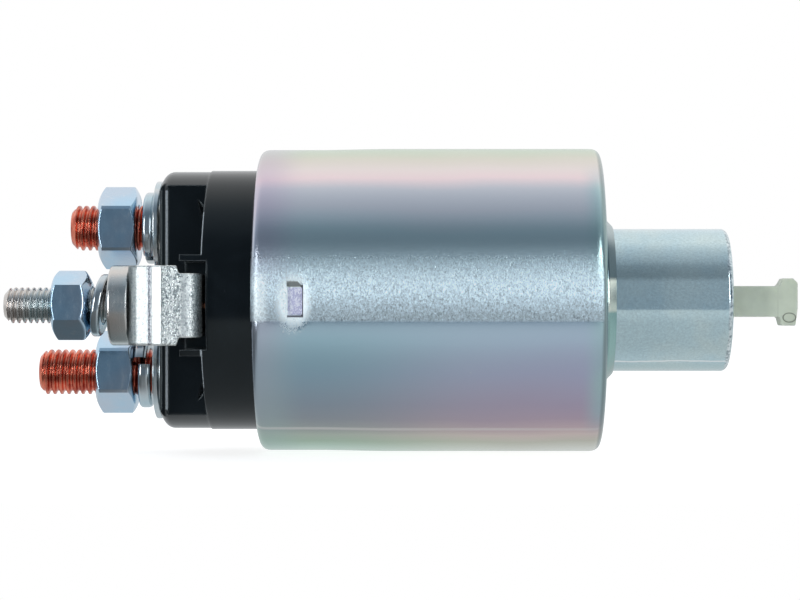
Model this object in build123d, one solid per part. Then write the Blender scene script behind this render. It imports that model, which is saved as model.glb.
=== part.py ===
from build123d import *
import math
import os

os.makedirs("parts", exist_ok=True)

# Starter solenoid, in millimetres. The X axis is the solenoid's axis, with +X towards the pull hook.
# x = 0 is the drive-end face that bolts to the starter, and +Z is up between the two copper studs.

# Clearances
seat_gap = 0.05        # between pieces that are pressed or stacked together
running_gap = 0.05     # radial, between a sliding piece and its guide
free_gap = 0.3         # between pieces that must never touch

# Yoke shell
shell_od = 53.1
crimp_step = 0.2       # radial, down to the crimped end
taper_start = 21.2     # distances from the lip's end
taper_end = 11.2
shell_wall = 2.5
end_wall = 5.0
end_corner = 1.8
lip_corner = 2.3
lip_thickness = 1.3
boss_wall = 1.6
boss_height = 2.5
boss_rim = 0.2         # flat left round the boss's mouth
boss_corner = 0.6
fixing_spacing = 38.0
fixing_minor_radius = 2.5
stake_width = 1.8
stake_height = 4.6
stake_depth = 0.8
stake_bulge = 0.5
stake_turn = 0.7       # degrees from the side that carries the control terminal
stake_count = 3
stake_offset = 1.3     # from the core plate's cap side

# Plunger and its guide
plunger_radius = 12.5
plunger_reach = 22.4   # beyond the drive-end face at rest
plunger_length = 42.4
plunger_round = 1.1
plunger_travel = 10.0
sleeve_wall = 0.6
spring_recess_radius = 8.6
spring_recess_depth = 10.0
plunger_web = 4.0
hook_bore_radius = 7.5
retainer_thickness = 1.5
retainer_ledge = 0.8   # radial width of the ledge that the retainer seats on
retainer_slack = 1.5   # radial, round the hook's shank
retainer_inset = 2.0

# Pull hook
neck_top = 2.45
neck_bottom = -2.95
hook_thickness = 5.0
shank_round = 0.5
fork_gap = 9.0         # from the plunger's end to the hook's head
head_length = 3.3
head_top = 3.8
head_bottom = -4.5
head_chamfer = 0.8
hook_end_rim = 1.1     # radial, beyond the shank's corners
hook_end_thickness = 2.4
hook_seat_thickness = 1.5
hook_seat_slack = 0.4
hook_spring_wire = 1.6
hook_spring_slack = 0.5
hook_spring_turns = 7

# Coil
wave_washer_thickness = 0.6
bobbin_length = 39.5
bobbin_wall = 1.15
bobbin_flange = 1.8
bobbin_slack = 0.45    # radial, inside the shell
flange_cover = 1.65    # how far the flanges stand over the wrap
pull_in_share = 0.54   # of the winding space
wrap_thickness = 0.45
lead_radius = 0.6
lead_space = 0.7       # radial, from a winding lead to the chamber's wall
lead_hole_slack = 0.15
earth_lead_tail = 3.4
earth_lead_bend = 1.5

# Stationary core
core_plate_thickness = 5.0
core_recess_depth = 3.7
lead_notch_slack = 0.9

# Moving contact
rod_radius = 2.5
rod_tip_round = 0.6
rod_travel = 3.0
collar_radius = 5.5
collar_thickness = 1.5
contact_spring_length = 4.3
contact_spring_wire = 0.9
contact_spring_radius = 4.4
contact_spring_turns = 2.5
insulator_rim = 2.5    # radial, beyond the insulator's sleeve
front_insulator_thickness = 1.3
rear_insulator_thickness = 1.0
insulator_sleeve_wall = 1.45
disc_slack = 3.2       # radial, inside the chamber
disc_thickness = 2.0
contact_gap = 2.3
clip_thickness = 0.8
clip_width = 2.4
clip_groove_depth = 0.5
clip_mouth = 2.4
rod_tail = 1.5
return_spring_wire = 0.7
return_spring_slack = 1.05
return_spring_turns = 4.5
plunger_spring_wire = 1.4
plunger_spring_slack = 1.3
plunger_spring_turns = 6.5

# Terminal cap
cap_shoulder = 1.25    # radial step from the cap's shoulder to its outside
cap_front_step = 0.2   # radial step from there to the front part
cap_reach = 16.85      # how far the cap stands out of the shell
cap_front_length = 8.3
cap_edge_round = 1.8
cap_flat_depth = 11.7
cap_flat_round = 1.4
cap_wall = 2.5
shoulder_length = 5.5
gasket_thickness = 1.0
spigot_step = 0.75
spigot_length = 2.0
head_pocket_depth = 2.5
spring_pocket_radius = 5.0
spring_pocket_depth = 4.6
strap_pocket_depth = 2.0
strap_pocket_side = 2.1
strap_pocket_slack = 0.6
strap_cheek = 1.1
relief_depth = 0.8
relief_start = 4.5     # relief triangle beside the pocket: distances from the pocket's cheeks
relief_middle = 6.3
relief_end = 8.7
relief_length = 1.6

# Copper studs
stud_turn = 68.7       # degrees from +Y to each stud
stud_head_space = 0.46  # radial, from a stud's head to the chamber's wall
stud_head_radius = 6.0
stud_head_thickness = 5.0
stud_shank_radius = 4.3
m8_crest = 4.0
m8_root = 3.4
m8_core = 3.6
m8_pitch = 1.25
battery_stud_reach = 17.25  # out of the cap's face
motor_stud_reach = 22.85
seal_width = 1.55
seal_thickness = 1.15

# Hardware on the copper studs
plain_washer_radius = 8.3
plain_washer_thickness = 1.1
washer_slack = 0.2
spring_washer_radius = 6.2
battery_washer_thickness = 1.9
motor_washer_thickness = 2.3
battery_washer_slot = 60.0  # degrees round the studs
motor_washer_slot = -20.0
spring_washer_slot = 1.2
spring_washer_cut = 25.0   # degrees of the slot's slant
m8_across_flats = 13.0
m8_nut_height = 6.7
nut_slack = 1.4        # the nuts are run on by hand and stop short of the washers
battery_nut_turn = 1.7
motor_nut_turn = -4.3
nut_face_share = 0.95  # diameter of a nut's face, as a share of its width
countersink = 0.55

# Control terminal
signal_inset = 2.2     # from the cap's outside to the stud's axis
signal_z = -0.9
m6_crest = 3.0
m6_root = 2.45
m6_core = 2.65
m6_pitch = 1.0
signal_stud_reach = 21.1   # out of the strap's plate
signal_collar_radius = 6.7
signal_collar_thickness = 3.4
signal_collar_round = 0.3
signal_washer_radius = 5.2
signal_washer_thickness = 1.5
signal_washer_lean = 7.6
signal_washer_space = 3.15
signal_washer_slack = 0.3
signal_washer_slot = 150.0    # degrees round the axis
m6_across_flats = 10.2
m6_nut_height = 6.4
m6_nut_nose_share = 0.74   # diameter of the nut's inner face, as a share of its width
signal_nut_turn = -5.7

# Terminal strap
strap_thickness = 1.2
strap_width = 13.2
strap_neck_width = 10.6
strap_below = 6.5      # from the control stud's axis to the strap's outer face
strap_above = 6.0      # from the same axis to the plate's free end
strap_stand = 3.3      # from the cap's face out to the plate's face
strap_shoulder = 5.1   # from the cap's face in to the shoulders
strap_leg = 8.0        # from the cap's face in to the middle of the leg
strap_jog = 0.8
strap_jog_place = 0.5  # from the cap's face in to the jog
strap_jog_length = 0.8
strap_bend = 2.2
clinch_rim = 0.95
clinch_thickness = 1.0
clinch_slope = 0.6

# Radii, worked out from the sizes above
shell_radius = shell_od / 2
crimp_end_radius = shell_radius - crimp_step
bore_radius = shell_radius - shell_wall
sleeve_bore = plunger_radius + running_gap
sleeve_radius = sleeve_bore + sleeve_wall
boss_bore = plunger_radius + free_gap
boss_radius = boss_bore + boss_wall
boss_bevel = boss_wall - boss_rim
shoulder_radius = bore_radius - 2 * seat_gap
cap_radius = shoulder_radius - cap_shoulder
cap_front_radius = cap_radius - cap_front_step
cap_flat = cap_radius - cap_flat_depth
signal_y = signal_inset - cap_radius
lip_radius = cap_radius + 2 * seat_gap
lip_slope = bore_radius - lip_radius
spigot_radius = bore_radius - spigot_step
chamber_radius = cap_radius - cap_wall
bobbin_bore = sleeve_radius + 2 * seat_gap
winding_floor = bobbin_bore + bobbin_wall
bobbin_flange_radius = bore_radius - bobbin_slack
winding_space = bobbin_flange_radius - flange_cover - winding_floor - wrap_thickness - 3 * seat_gap
pull_in_depth = pull_in_share * winding_space
hold_in_depth = winding_space - pull_in_depth
lead_circle = chamber_radius - lead_space - lead_radius
disc_radius = chamber_radius - disc_slack
insulator_sleeve_radius = rod_radius + running_gap + insulator_sleeve_wall
insulator_radius = insulator_sleeve_radius + insulator_rim
clip_groove_radius = rod_radius - clip_groove_depth
clip_radius = clip_groove_radius + clip_width
stud_circle = chamber_radius - stud_head_space - stud_head_radius
stud_y = stud_circle * math.cos(math.radians(stud_turn))
stud_z = stud_circle * math.sin(math.radians(stud_turn))
washer_bore_radius = m8_crest + washer_slack
shank_corner = math.hypot(neck_bottom, hook_thickness / 2)
hook_end_radius = shank_corner + hook_end_rim
hook_seat_radius = hook_bore_radius - hook_seat_slack
hook_spring_radius = hook_bore_radius - hook_spring_slack - hook_spring_wire / 2
retainer_hole_radius = shank_corner + retainer_slack
retainer_radius = hook_bore_radius + retainer_ledge
plunger_spring_radius = spring_recess_radius - plunger_spring_slack - plunger_spring_wire / 2
return_spring_radius = spring_pocket_radius - return_spring_slack - return_spring_wire / 2

# Places along the axis, worked out from the sizes above
sleeve_end = free_gap
plunger_back = plunger_reach - plunger_length
recess_floor = plunger_back + spring_recess_depth
bore_floor = recess_floor + plunger_web
bobbin_front = -end_wall - wave_washer_thickness
bobbin_back = bobbin_front - bobbin_length
core_front = plunger_back - plunger_travel - free_gap
plate_front = bobbin_back - 2 * seat_gap
plate_back = plate_front - core_plate_thickness
core_recess = core_front - core_recess_depth
rod_tip = recess_floor - (plunger_travel - rod_travel) - free_gap
gasket_back = plate_back - gasket_thickness
shoulder_x = gasket_back - shoulder_length
lip_end = shoulder_x - lip_slope - lip_thickness
stake_x = plate_back - stake_offset
collar_front = plate_back - free_gap
collar_back = collar_front - collar_thickness
front_insulator = collar_back - contact_spring_length
disc_front = front_insulator - front_insulator_thickness
disc_back = disc_front - disc_thickness
rear_insulator = disc_back - rear_insulator_thickness
clip_front = rear_insulator - 2 * seat_gap
clip_back = clip_front - clip_thickness
rod_end = clip_back - rod_tail
stud_face = disc_back - contact_gap
stud_head_back = stud_face - stud_head_thickness
chamber_floor = stud_head_back + head_pocket_depth
spring_pocket_floor = chamber_floor - spring_pocket_depth
cap_face = lip_end - cap_reach
cap_step = cap_face + cap_front_length
retainer_back = plunger_reach - retainer_inset - retainer_thickness
hook_end = bore_floor + free_gap
hook_seat_back = hook_end + hook_end_thickness
hook_seat_front = hook_seat_back + hook_seat_thickness
head_start = plunger_reach + fork_gap
outer_washer = cap_face - plain_washer_thickness
washer_stack = cap_face - 2 * plain_washer_thickness
battery_nut_left = washer_stack - battery_washer_thickness - nut_slack - m8_nut_height
motor_nut_left = washer_stack - motor_washer_thickness - nut_slack - m8_nut_height
battery_stud_tip = cap_face - battery_stud_reach
motor_stud_tip = cap_face - motor_stud_reach
strap_face = cap_face - strap_stand
strap_shoulder_x = cap_face + strap_shoulder
strap_leg_x = cap_face + strap_leg
strap_outer_y = signal_y - strap_below
pocket_left = strap_shoulder_x - 2 * seat_gap - free_gap
pocket_right = strap_leg_x + strap_thickness / 2 + strap_pocket_slack
pocket_floor = -cap_flat - strap_pocket_depth
collar_face = strap_face - signal_collar_thickness
signal_nut_left = collar_face - signal_washer_space - m6_nut_height
signal_stud_tip = strap_face - signal_stud_reach

# Directions of the winding leads round the axis, in degrees from +Y towards +Z
signal_lead_turn = 180 - math.degrees(math.asin(signal_z / lead_circle))
motor_lead_turn = -stud_turn
earth_lead_turn = 0.0


def turned(points, rounds=()):
    """Solid turned about the X axis from (x, radius) points; rounds holds (corner point, radius) pairs."""
    outline = make_face(Polyline(*points, close=True))
    for point, radius in rounds:
        corner = outline.vertices().sort_by_distance((point[0], point[1], 0))[0]
        outline = fillet(corner, radius)
    return revolve(Plane.XZ * outline, Axis.X)


def ring(x_low, x_high, inner, outer):
    """Plain ring about the X axis."""
    return turned([(x_low, inner), (x_high, inner), (x_high, outer), (x_low, outer)])


def block(x_low, x_high, y_low, y_high, z_low, z_high):
    """Rectangular block between two corners."""
    middle = ((x_low + x_high) / 2, (y_low + y_high) / 2, (z_low + z_high) / 2)
    return Pos(*middle) * Box(x_high - x_low, y_high - y_low, z_high - z_low)


def around(shape, degrees):
    """The shape turned about the X axis."""
    return Rot(degrees, 0, 0) * shape


def coil_spring(x_low, x_high, mean_radius, wire, turns):
    """Round-wire helical spring about the X axis, standing between two seats."""
    height = x_high - x_low - wire - 2 * seat_gap
    path = Helix(height / turns, height, mean_radius)
    section = Plane(origin=path @ 0, z_dir=path % 0) * Circle(wire / 2)
    spring = sweep(section, path=path, is_frenet=True)
    return Pos(x_low + wire / 2 + seat_gap, 0, 0) * Rot(0, 90, 0) * spring


def thread_points(tip, free_end, crest, root, pitch):
    """Outline of ring-shaped threads from the tip inwards, with lands at the crest radius."""
    land = pitch / 5
    points = [(tip, 0), (tip, root)]
    for turn in range(int((free_end - tip) / pitch)):
        start = tip + turn * pitch + (pitch - land) / 2
        points += [(start, crest), (start + land, crest), (tip + (turn + 1) * pitch, root)]
    return points


def hex_nut(across_flats, height, bore, turn, inner_share):
    """Hexagon nut on the X axis with its left face at x = 0, bevelled and countersunk at both faces."""
    corner = across_flats / math.sqrt(3)
    face = nut_face_share * across_flats / 2
    inner_face = inner_share * across_flats / 2
    slope = math.tan(math.radians(30))
    bevel = (corner - face) * slope
    inner_bevel = (corner - inner_face) * slope
    sink = countersink
    prism = extrude(Plane.YZ * RegularPolygon(corner, 6, rotation=30), height)
    envelope = turned([
        (0, 0), (0, face), (bevel, corner), (height - inner_bevel, corner), (height, inner_face),
        (height, 0),
    ])
    hole = turned([
        (0, 0), (0, bore + sink), (sink, bore), (height - sink, bore), (height, bore + sink), (height, 0),
    ])
    return around((prism & envelope) - hole, turn)


def split_washer(thickness, bore, outer, slot_turn):
    """Spring washer with its left face at x = 0 and an oblique slot through one side."""
    washer = ring(0, thickness, bore, outer)
    middle = (bore + outer) / 2
    slot = Box(3 * thickness, 2 * (outer - bore), spring_washer_slot)
    slot = Pos(thickness / 2, -middle, 0) * Rot(0, spring_washer_cut, 0) * slot
    return washer - around(slot, slot_turn)


def at_stud(shape, side, x=0):
    """The shape moved onto the axis of the battery stud (side 1) or the motor stud (side -1)."""
    return Pos(x, stud_y, side * stud_z) * shape


def straight_lead(x_low, x_high, degrees):
    """Straight run of winding wire along X on the lead circle."""
    wire = Pos(0, lead_circle, 0) * ring(x_low, x_high, 0, lead_radius)
    return around(wire, degrees)


def make_yoke_shell():
    """Drawn steel cup: thick drive end with a boss, and a lip rolled in over the cap."""
    hole = sleeve_radius + seat_gap
    outline = [
        (-end_wall, hole), (sleeve_end, hole), (sleeve_end, boss_bore), (boss_height, boss_bore),
        (boss_height, boss_radius - boss_bevel), (boss_height - boss_bevel, boss_radius),
        (0, boss_radius), (0, shell_radius), (lip_end + taper_start, shell_radius),
        (lip_end + taper_end, crimp_end_radius), (lip_end, crimp_end_radius), (lip_end, lip_radius),
        (lip_end + lip_thickness, lip_radius), (shoulder_x, bore_radius), (-end_wall, bore_radius),
    ]
    rounds = [
        ((0, shell_radius), end_corner),
        ((lip_end, crimp_end_radius), lip_corner),
        ((boss_height - boss_bevel, boss_radius), boss_corner),
    ]
    shell = turned(outline, rounds)
    for side in (-1, 1):
        hole_axis = Pos(0, side * fixing_spacing / 2, 0)
        shell -= hole_axis * ring(-end_wall - 1, 1, 0, fixing_minor_radius)
    punch = block(-stake_width / 2, stake_width / 2, -shell_radius - 1, -crimp_end_radius + stake_depth,
                  -stake_height / 2, stake_height / 2)
    bulge = block(-stake_width / 2, stake_width / 2, -bore_radius - stake_bulge, -bore_radius + stake_bulge,
                  -stake_height / 2, stake_height / 2)
    for mark in range(stake_count):
        turn = -stake_turn + mark * 360 / stake_count
        shell -= around(Pos(stake_x, 0, 0) * punch, turn)
        shell += around(Pos(stake_x, 0, 0) * bulge, turn)
    return shell


def make_guide_sleeve():
    """Thin brass tube that guides the plunger and holds the stationary core's nose."""
    return ring(bobbin_back + bobbin_flange, sleeve_end - seat_gap, sleeve_bore, sleeve_radius)


def make_wave_washer():
    """Spring ring that presses the bobbin against the core plate."""
    return ring(bobbin_front, -end_wall, winding_floor, bobbin_flange_radius - bobbin_flange)


def make_coil_bobbin():
    """Moulded bobbin with a flange at each end."""
    return turned([
        (bobbin_back, bobbin_bore), (bobbin_front, bobbin_bore), (bobbin_front, bobbin_flange_radius),
        (bobbin_front - bobbin_flange, bobbin_flange_radius), (bobbin_front - bobbin_flange, winding_floor),
        (bobbin_back + bobbin_flange, winding_floor), (bobbin_back + bobbin_flange, bobbin_flange_radius),
        (bobbin_back, bobbin_flange_radius),
    ])


def make_windings():
    """Pull-in winding, hold-in winding over it, and the wrap that covers both."""
    low = bobbin_back + bobbin_flange + seat_gap
    high = bobbin_front - bobbin_flange - seat_gap
    layers = {}
    inner = winding_floor + seat_gap
    for name, depth in (
        ("pull_in_winding", pull_in_depth),
        ("hold_in_winding", hold_in_depth),
        ("winding_wrap", wrap_thickness),
    ):
        layers[name] = ring(low, high, inner, inner + depth)
        inner += depth + seat_gap
    return layers


def make_stationary_core():
    """Pole piece: a nose inside the guide sleeve and a plate across the shell."""
    rod_bore = rod_radius + running_gap
    core = turned([
        (plate_back, rod_bore), (core_recess, rod_bore), (core_recess, spring_recess_radius),
        (core_front, spring_recess_radius), (core_front, plunger_radius), (plate_front, plunger_radius),
        (plate_front, bore_radius - seat_gap), (plate_back, bore_radius - seat_gap),
    ])
    notch_half = lead_radius + lead_notch_slack
    notch = block(plate_back - 1, plate_front + 1, lead_circle - notch_half, bore_radius + 1,
                  -notch_half, notch_half)
    for degrees in (signal_lead_turn, motor_lead_turn, earth_lead_turn):
        core -= around(notch, degrees)
    return core


def flat_cutter():
    """Everything in front of the cap's flat, with the flat's outer edge rounded."""
    low = -cap_radius - 1
    edge = cap_flat_round
    profile = make_face(Curve() + [
        Polyline((cap_face + edge, -cap_flat), (cap_step, -cap_flat), (cap_step, low), (cap_face - 1, low),
                 (cap_face - 1, edge - cap_flat), (cap_face, edge - cap_flat)),
        RadiusArc((cap_face, edge - cap_flat), (cap_face + edge, -cap_flat), edge),
    ])
    return extrude(profile, cap_radius + 1, both=True)


def relief_cutter(side, cheek_half):
    """Shallow triangle beside the strap pocket, at the foot of the step."""
    root = side * cheek_half
    triangle = make_face(Polyline(
        (cap_step, root + side * relief_middle), (cap_step - relief_length, root + side * relief_end),
        (cap_step - relief_length / 3, root + side * relief_start), close=True))
    cutter = extrude(Plane.XZ * triangle, relief_depth, both=True)
    return Pos(0, -cap_flat, 0) * cutter


def make_terminal_cap():
    """Moulded cap with the contact chamber inside, a flat and the strap pocket outside."""
    front_corner = (cap_face, cap_front_radius)
    cap = turned([
        (cap_face, 0), (spring_pocket_floor, 0), (spring_pocket_floor, spring_pocket_radius),
        (chamber_floor, spring_pocket_radius), (chamber_floor, chamber_radius), (gasket_back, chamber_radius),
        (gasket_back, spigot_radius), (gasket_back - spigot_length, spigot_radius),
        (gasket_back - spigot_length, shoulder_radius), (shoulder_x - seat_gap, shoulder_radius),
        (shoulder_x - shoulder_radius + cap_radius - seat_gap, cap_radius), (cap_step, cap_radius),
        (cap_step, cap_front_radius), front_corner,
    ], [(front_corner, cap_edge_round)])
    cap -= flat_cutter()
    pocket_half = strap_neck_width / 2 + strap_pocket_side
    cheek_half = pocket_half + strap_cheek
    boss = ring(pocket_left, cap_step + 1, cap_flat - strap_pocket_depth, cap_radius)
    boss &= block(pocket_left, cap_step + 1, -cap_radius, -cap_flat + 1,
                  signal_z - cheek_half, signal_z + cheek_half)
    cap += boss
    cap -= block(pocket_left - 1, pocket_right, -cap_radius - 1, pocket_floor,
                 signal_z - pocket_half, signal_z + pocket_half)
    for side in (-1, 1):
        cap -= relief_cutter(side, cheek_half)
    for side in (-1, 1):
        seal_groove = stud_shank_radius + seal_width + 2 * seat_gap
        cap -= at_stud(ring(cap_face - 1, chamber_floor, 0, stud_shank_radius + seat_gap), side)
        cap -= at_stud(ring(stud_head_back, stud_face + free_gap, 0, stud_head_radius + seat_gap), side)
        cap -= at_stud(ring(cap_face - 1, cap_face + seal_thickness + seat_gap, 0, seal_groove), side)
    lead_hole = ring(pocket_right - 1, chamber_floor + 1, 0, lead_radius + lead_hole_slack)
    return cap - around(Pos(0, lead_circle, 0) * lead_hole, signal_lead_turn)


def make_cap_gasket():
    """Rubber ring between the cap's spigot and the core plate."""
    return ring(gasket_back, plate_back, chamber_radius, spigot_radius)


def make_copper_stud(tip, side, free_end):
    """Copper stud: contact head in the chamber, shank through the cap, threaded free end."""
    points = thread_points(tip, free_end, m8_crest, m8_root, m8_pitch)
    points += [
        (free_end, m8_root), (free_end, m8_core), (cap_face, m8_core), (cap_face, stud_shank_radius),
        (stud_head_back, stud_shank_radius), (stud_head_back, stud_head_radius),
        (stud_face, stud_head_radius), (stud_face, 0),
    ]
    return at_stud(turned(points), side)


def make_stud_seals():
    """Sealing rings let into the cap's face round the two copper studs."""
    inner = stud_shank_radius + seat_gap
    seal = ring(cap_face + seat_gap, cap_face + seal_thickness, inner, inner + seal_width)
    return [at_stud(seal, side) for side in (1, -1)]


def make_plain_washers():
    """Two plain washers on each copper stud, stacked on the cap's face."""
    washers = []
    for side in (1, -1):
        for left in (outer_washer, washer_stack):
            washer = ring(left, left + plain_washer_thickness, washer_bore_radius, plain_washer_radius)
            washers.append(at_stud(washer, side))
    return washers


def make_spring_washers():
    """Split spring washer on each copper stud."""
    washers = []
    for side, thickness, slot_turn in (
        (1, battery_washer_thickness, battery_washer_slot),
        (-1, motor_washer_thickness, motor_washer_slot),
    ):
        washer = split_washer(thickness, washer_bore_radius, spring_washer_radius, slot_turn)
        washers.append(at_stud(washer, side, washer_stack - thickness))
    return washers


def make_terminal_nuts():
    """Hexagon nut on each copper stud."""
    nuts = []
    for side, left, turn in (
        (1, battery_nut_left, battery_nut_turn),
        (-1, motor_nut_left, motor_nut_turn),
    ):
        nut = hex_nut(m8_across_flats, m8_nut_height, m8_core + seat_gap, turn, nut_face_share)
        nuts.append(at_stud(nut, side, left))
    return nuts


def make_signal_stud():
    """Control terminal stud: threaded end, round collar, tail clinched through the strap."""
    plate_back = strap_face + strap_thickness
    clinch = m6_core + clinch_rim
    points = thread_points(signal_stud_tip, signal_nut_left, m6_crest, m6_root, m6_pitch)
    points += [
        (signal_nut_left, m6_root), (signal_nut_left, m6_core), (collar_face, m6_core),
        (collar_face, signal_collar_radius), (strap_face, signal_collar_radius), (strap_face, m6_core),
        (plate_back, m6_core), (plate_back, clinch),
        (plate_back + clinch_thickness, clinch - clinch_slope), (plate_back + clinch_thickness, 0),
    ]
    rounds = [((collar_face, signal_collar_radius), signal_collar_round)]
    return Pos(0, signal_y, signal_z) * turned(points, rounds)


def make_signal_nut():
    """Hexagon nut on the control terminal stud."""
    nut = hex_nut(m6_across_flats, m6_nut_height, m6_core + seat_gap, signal_nut_turn, m6_nut_nose_share)
    return Pos(signal_nut_left, signal_y, signal_z) * nut


def make_signal_spring_washer():
    """Split washer that leans between the nut and the collar of the control terminal."""
    bore = m6_crest + signal_washer_slack
    washer = split_washer(signal_washer_thickness, bore, signal_washer_radius, signal_washer_slot)
    washer = Pos(-signal_washer_thickness / 2, 0, 0) * washer
    middle = collar_face - signal_washer_space / 2
    return Pos(middle, signal_y, signal_z) * Rot(0, signal_washer_lean, signal_washer_lean / 2) * washer


def make_signal_strap():
    """Bent strap: plate under the stud's collar, a run with a small jog, and a leg down into the cap."""
    run_y = strap_outer_y + strap_thickness / 2
    plate_x = strap_face + strap_thickness / 2
    jog_x = cap_face + strap_jog_place
    half_jog = strap_jog_length / 2
    path = FilletPolyline(
        (plate_x, signal_y + strap_above), (plate_x, run_y + strap_jog),
        (jog_x - half_jog, run_y + strap_jog), (jog_x + half_jog, run_y), (strap_leg_x, run_y),
        (strap_leg_x, pocket_floor),
        radius=[strap_bend - strap_thickness / 2, strap_thickness, strap_thickness, strap_bend],
    )
    strap = extrude(trace(path, strap_thickness), strap_width / 2, both=True)
    side = block(strap_shoulder_x, 0, strap_outer_y - 1, 0, strap_neck_width / 2, strap_width)
    strap -= side
    strap -= mirror(side, Plane.XY)
    strap = Pos(0, 0, signal_z) * strap
    hole = ring(strap_face - 1, strap_face + strap_thickness + 1, 0, m6_core + seat_gap)
    return strap - Pos(0, signal_y, signal_z) * hole


def make_earth_lead():
    """Earth end of the hold-in winding, bent over and welded to the core plate."""
    turn_x = plate_back - lead_radius - seat_gap
    path = FilletPolyline((bobbin_back, lead_circle), (turn_x, lead_circle),
                          (turn_x, lead_circle - earth_lead_tail), radius=earth_lead_bend)
    wire = sweep(Plane(origin=path @ 0, z_dir=path % 0) * Circle(lead_radius), path=path)
    return around(wire, earth_lead_turn)


def make_contact_rod():
    """Rod through the stationary core that the plunger pushes, with a collar and a clip groove."""
    return turned([
        (rod_end, 0), (rod_end, rod_radius), (clip_back - seat_gap, rod_radius),
        (clip_back - seat_gap, clip_groove_radius), (clip_front + seat_gap, clip_groove_radius),
        (clip_front + seat_gap, rod_radius), (collar_back, rod_radius), (collar_back, collar_radius),
        (collar_front, collar_radius), (collar_front, rod_radius), (rod_tip, rod_radius), (rod_tip, 0),
    ], [((rod_tip, rod_radius), rod_tip_round)])


def make_rod_clip():
    """Open clip in the rod's groove."""
    clip = ring(clip_back, clip_front, clip_groove_radius + seat_gap, clip_radius)
    return clip - block(clip_back - 1, clip_front + 1, 0, clip_radius + 1, -clip_mouth / 2, clip_mouth / 2)


def make_contact_disc():
    """Copper disc that bridges the two stud heads."""
    return ring(disc_back, disc_front, insulator_sleeve_radius + seat_gap, disc_radius)


def make_front_insulator():
    """Flanged insulating bush between the rod and the contact disc."""
    bore = rod_radius + running_gap
    return turned([
        (disc_back, bore), (front_insulator, bore), (front_insulator, insulator_radius),
        (disc_front, insulator_radius), (disc_front, insulator_sleeve_radius),
        (disc_back, insulator_sleeve_radius),
    ])


def make_rear_insulator():
    """Insulating washer behind the contact disc."""
    return ring(rear_insulator, disc_back, rod_radius + running_gap, insulator_radius)


def make_plunger():
    """Steel plunger with a spring recess at the back and the hook's bore at the front."""
    seat = retainer_radius + seat_gap
    outer_front = (plunger_reach, plunger_radius)
    outer_back = (plunger_back, plunger_radius)
    return turned([
        (recess_floor, 0), (bore_floor, 0), (bore_floor, hook_bore_radius), (retainer_back, hook_bore_radius),
        (retainer_back, seat), (plunger_reach, seat), outer_front, outer_back,
        (plunger_back, spring_recess_radius), (recess_floor, spring_recess_radius),
    ], [(outer_front, plunger_round), (outer_back, plunger_round / 2)])


def make_hook_retainer():
    """Ring seated in the plunger's mouth that the hook spring pushes against."""
    return ring(retainer_back, retainer_back + retainer_thickness, retainer_hole_radius, retainer_radius)


def make_pull_hook():
    """Nylon hook: round inner end, flat shank and T-shaped head."""
    head_end = head_start + head_length
    cut = head_chamfer
    outline = make_face(Polyline(
        (hook_end, neck_bottom), (hook_end, neck_top), (head_start, neck_top), (head_start + cut, head_top),
        (head_end - cut, head_top), (head_end, head_top - cut), (head_end, neck_bottom / 2),
        (head_end - cut / 2, head_bottom), (head_start + cut / 2, head_bottom), (head_start, neck_bottom),
        close=True))
    hook = extrude(Plane.XZ * outline, hook_thickness / 2, both=True)
    long_edges = hook.edges().filter_by(Axis.X).sort_by(SortBy.LENGTH)[-4:]
    return fillet(long_edges, shank_round) + ring(hook_end, hook_seat_back, 0, hook_end_radius)


def make_hook_seat():
    """Steel washer on the hook's shank that carries the hook spring."""
    return ring(hook_seat_back, hook_seat_front, shank_corner + seat_gap, hook_seat_radius)


nodes = {
    "yoke_shell": make_yoke_shell(),
    "guide_sleeve": make_guide_sleeve(),
    "bobbin_wave_washer": make_wave_washer(),
    "coil_bobbin": make_coil_bobbin(),
    **make_windings(),
    "stationary_core": make_stationary_core(),
    "cap_gasket": make_cap_gasket(),
    "terminal_cap": make_terminal_cap(),
    "battery_stud": make_copper_stud(battery_stud_tip, 1, battery_nut_left),
    "motor_stud": make_copper_stud(motor_stud_tip, -1, motor_nut_left),
    "stud_seals": make_stud_seals(),
    "plain_washers": make_plain_washers(),
    "spring_washers": make_spring_washers(),
    "terminal_nuts": make_terminal_nuts(),
    "signal_stud": make_signal_stud(),
    "signal_nut": make_signal_nut(),
    "signal_spring_washer": make_signal_spring_washer(),
    "signal_strap": make_signal_strap(),
    "signal_lead": straight_lead(strap_leg_x + strap_thickness / 2, bobbin_back, signal_lead_turn),
    "motor_lead": straight_lead(stud_face, bobbin_back, motor_lead_turn),
    "earth_lead": make_earth_lead(),
    "contact_rod": make_contact_rod(),
    "rod_clip": make_rod_clip(),
    "contact_disc": make_contact_disc(),
    "disc_front_insulator": make_front_insulator(),
    "disc_rear_insulator": make_rear_insulator(),
    "contact_spring": coil_spring(front_insulator, collar_back, contact_spring_radius,
                                  contact_spring_wire, contact_spring_turns),
    "contact_return_spring": coil_spring(spring_pocket_floor, clip_back, return_spring_radius,
                                         return_spring_wire, return_spring_turns),
    "plunger_return_spring": coil_spring(core_recess, recess_floor, plunger_spring_radius,
                                         plunger_spring_wire, plunger_spring_turns),
    "plunger": make_plunger(),
    "hook_retainer": make_hook_retainer(),
    "hook_spring": coil_spring(hook_seat_front, retainer_back, hook_spring_radius, hook_spring_wire,
                               hook_spring_turns),
    "pull_hook": make_pull_hook(),
    "hook_spring_seat": make_hook_seat(),
}

for name, shape in nodes.items():
    solid = Compound(children=shape) if isinstance(shape, list) else shape
    export_step(solid, f"parts/{name}.step")
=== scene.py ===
import math

import bmesh
import bpy
from bpy.props import FloatProperty, FloatVectorProperty, PointerProperty
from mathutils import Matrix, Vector, noise


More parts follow.
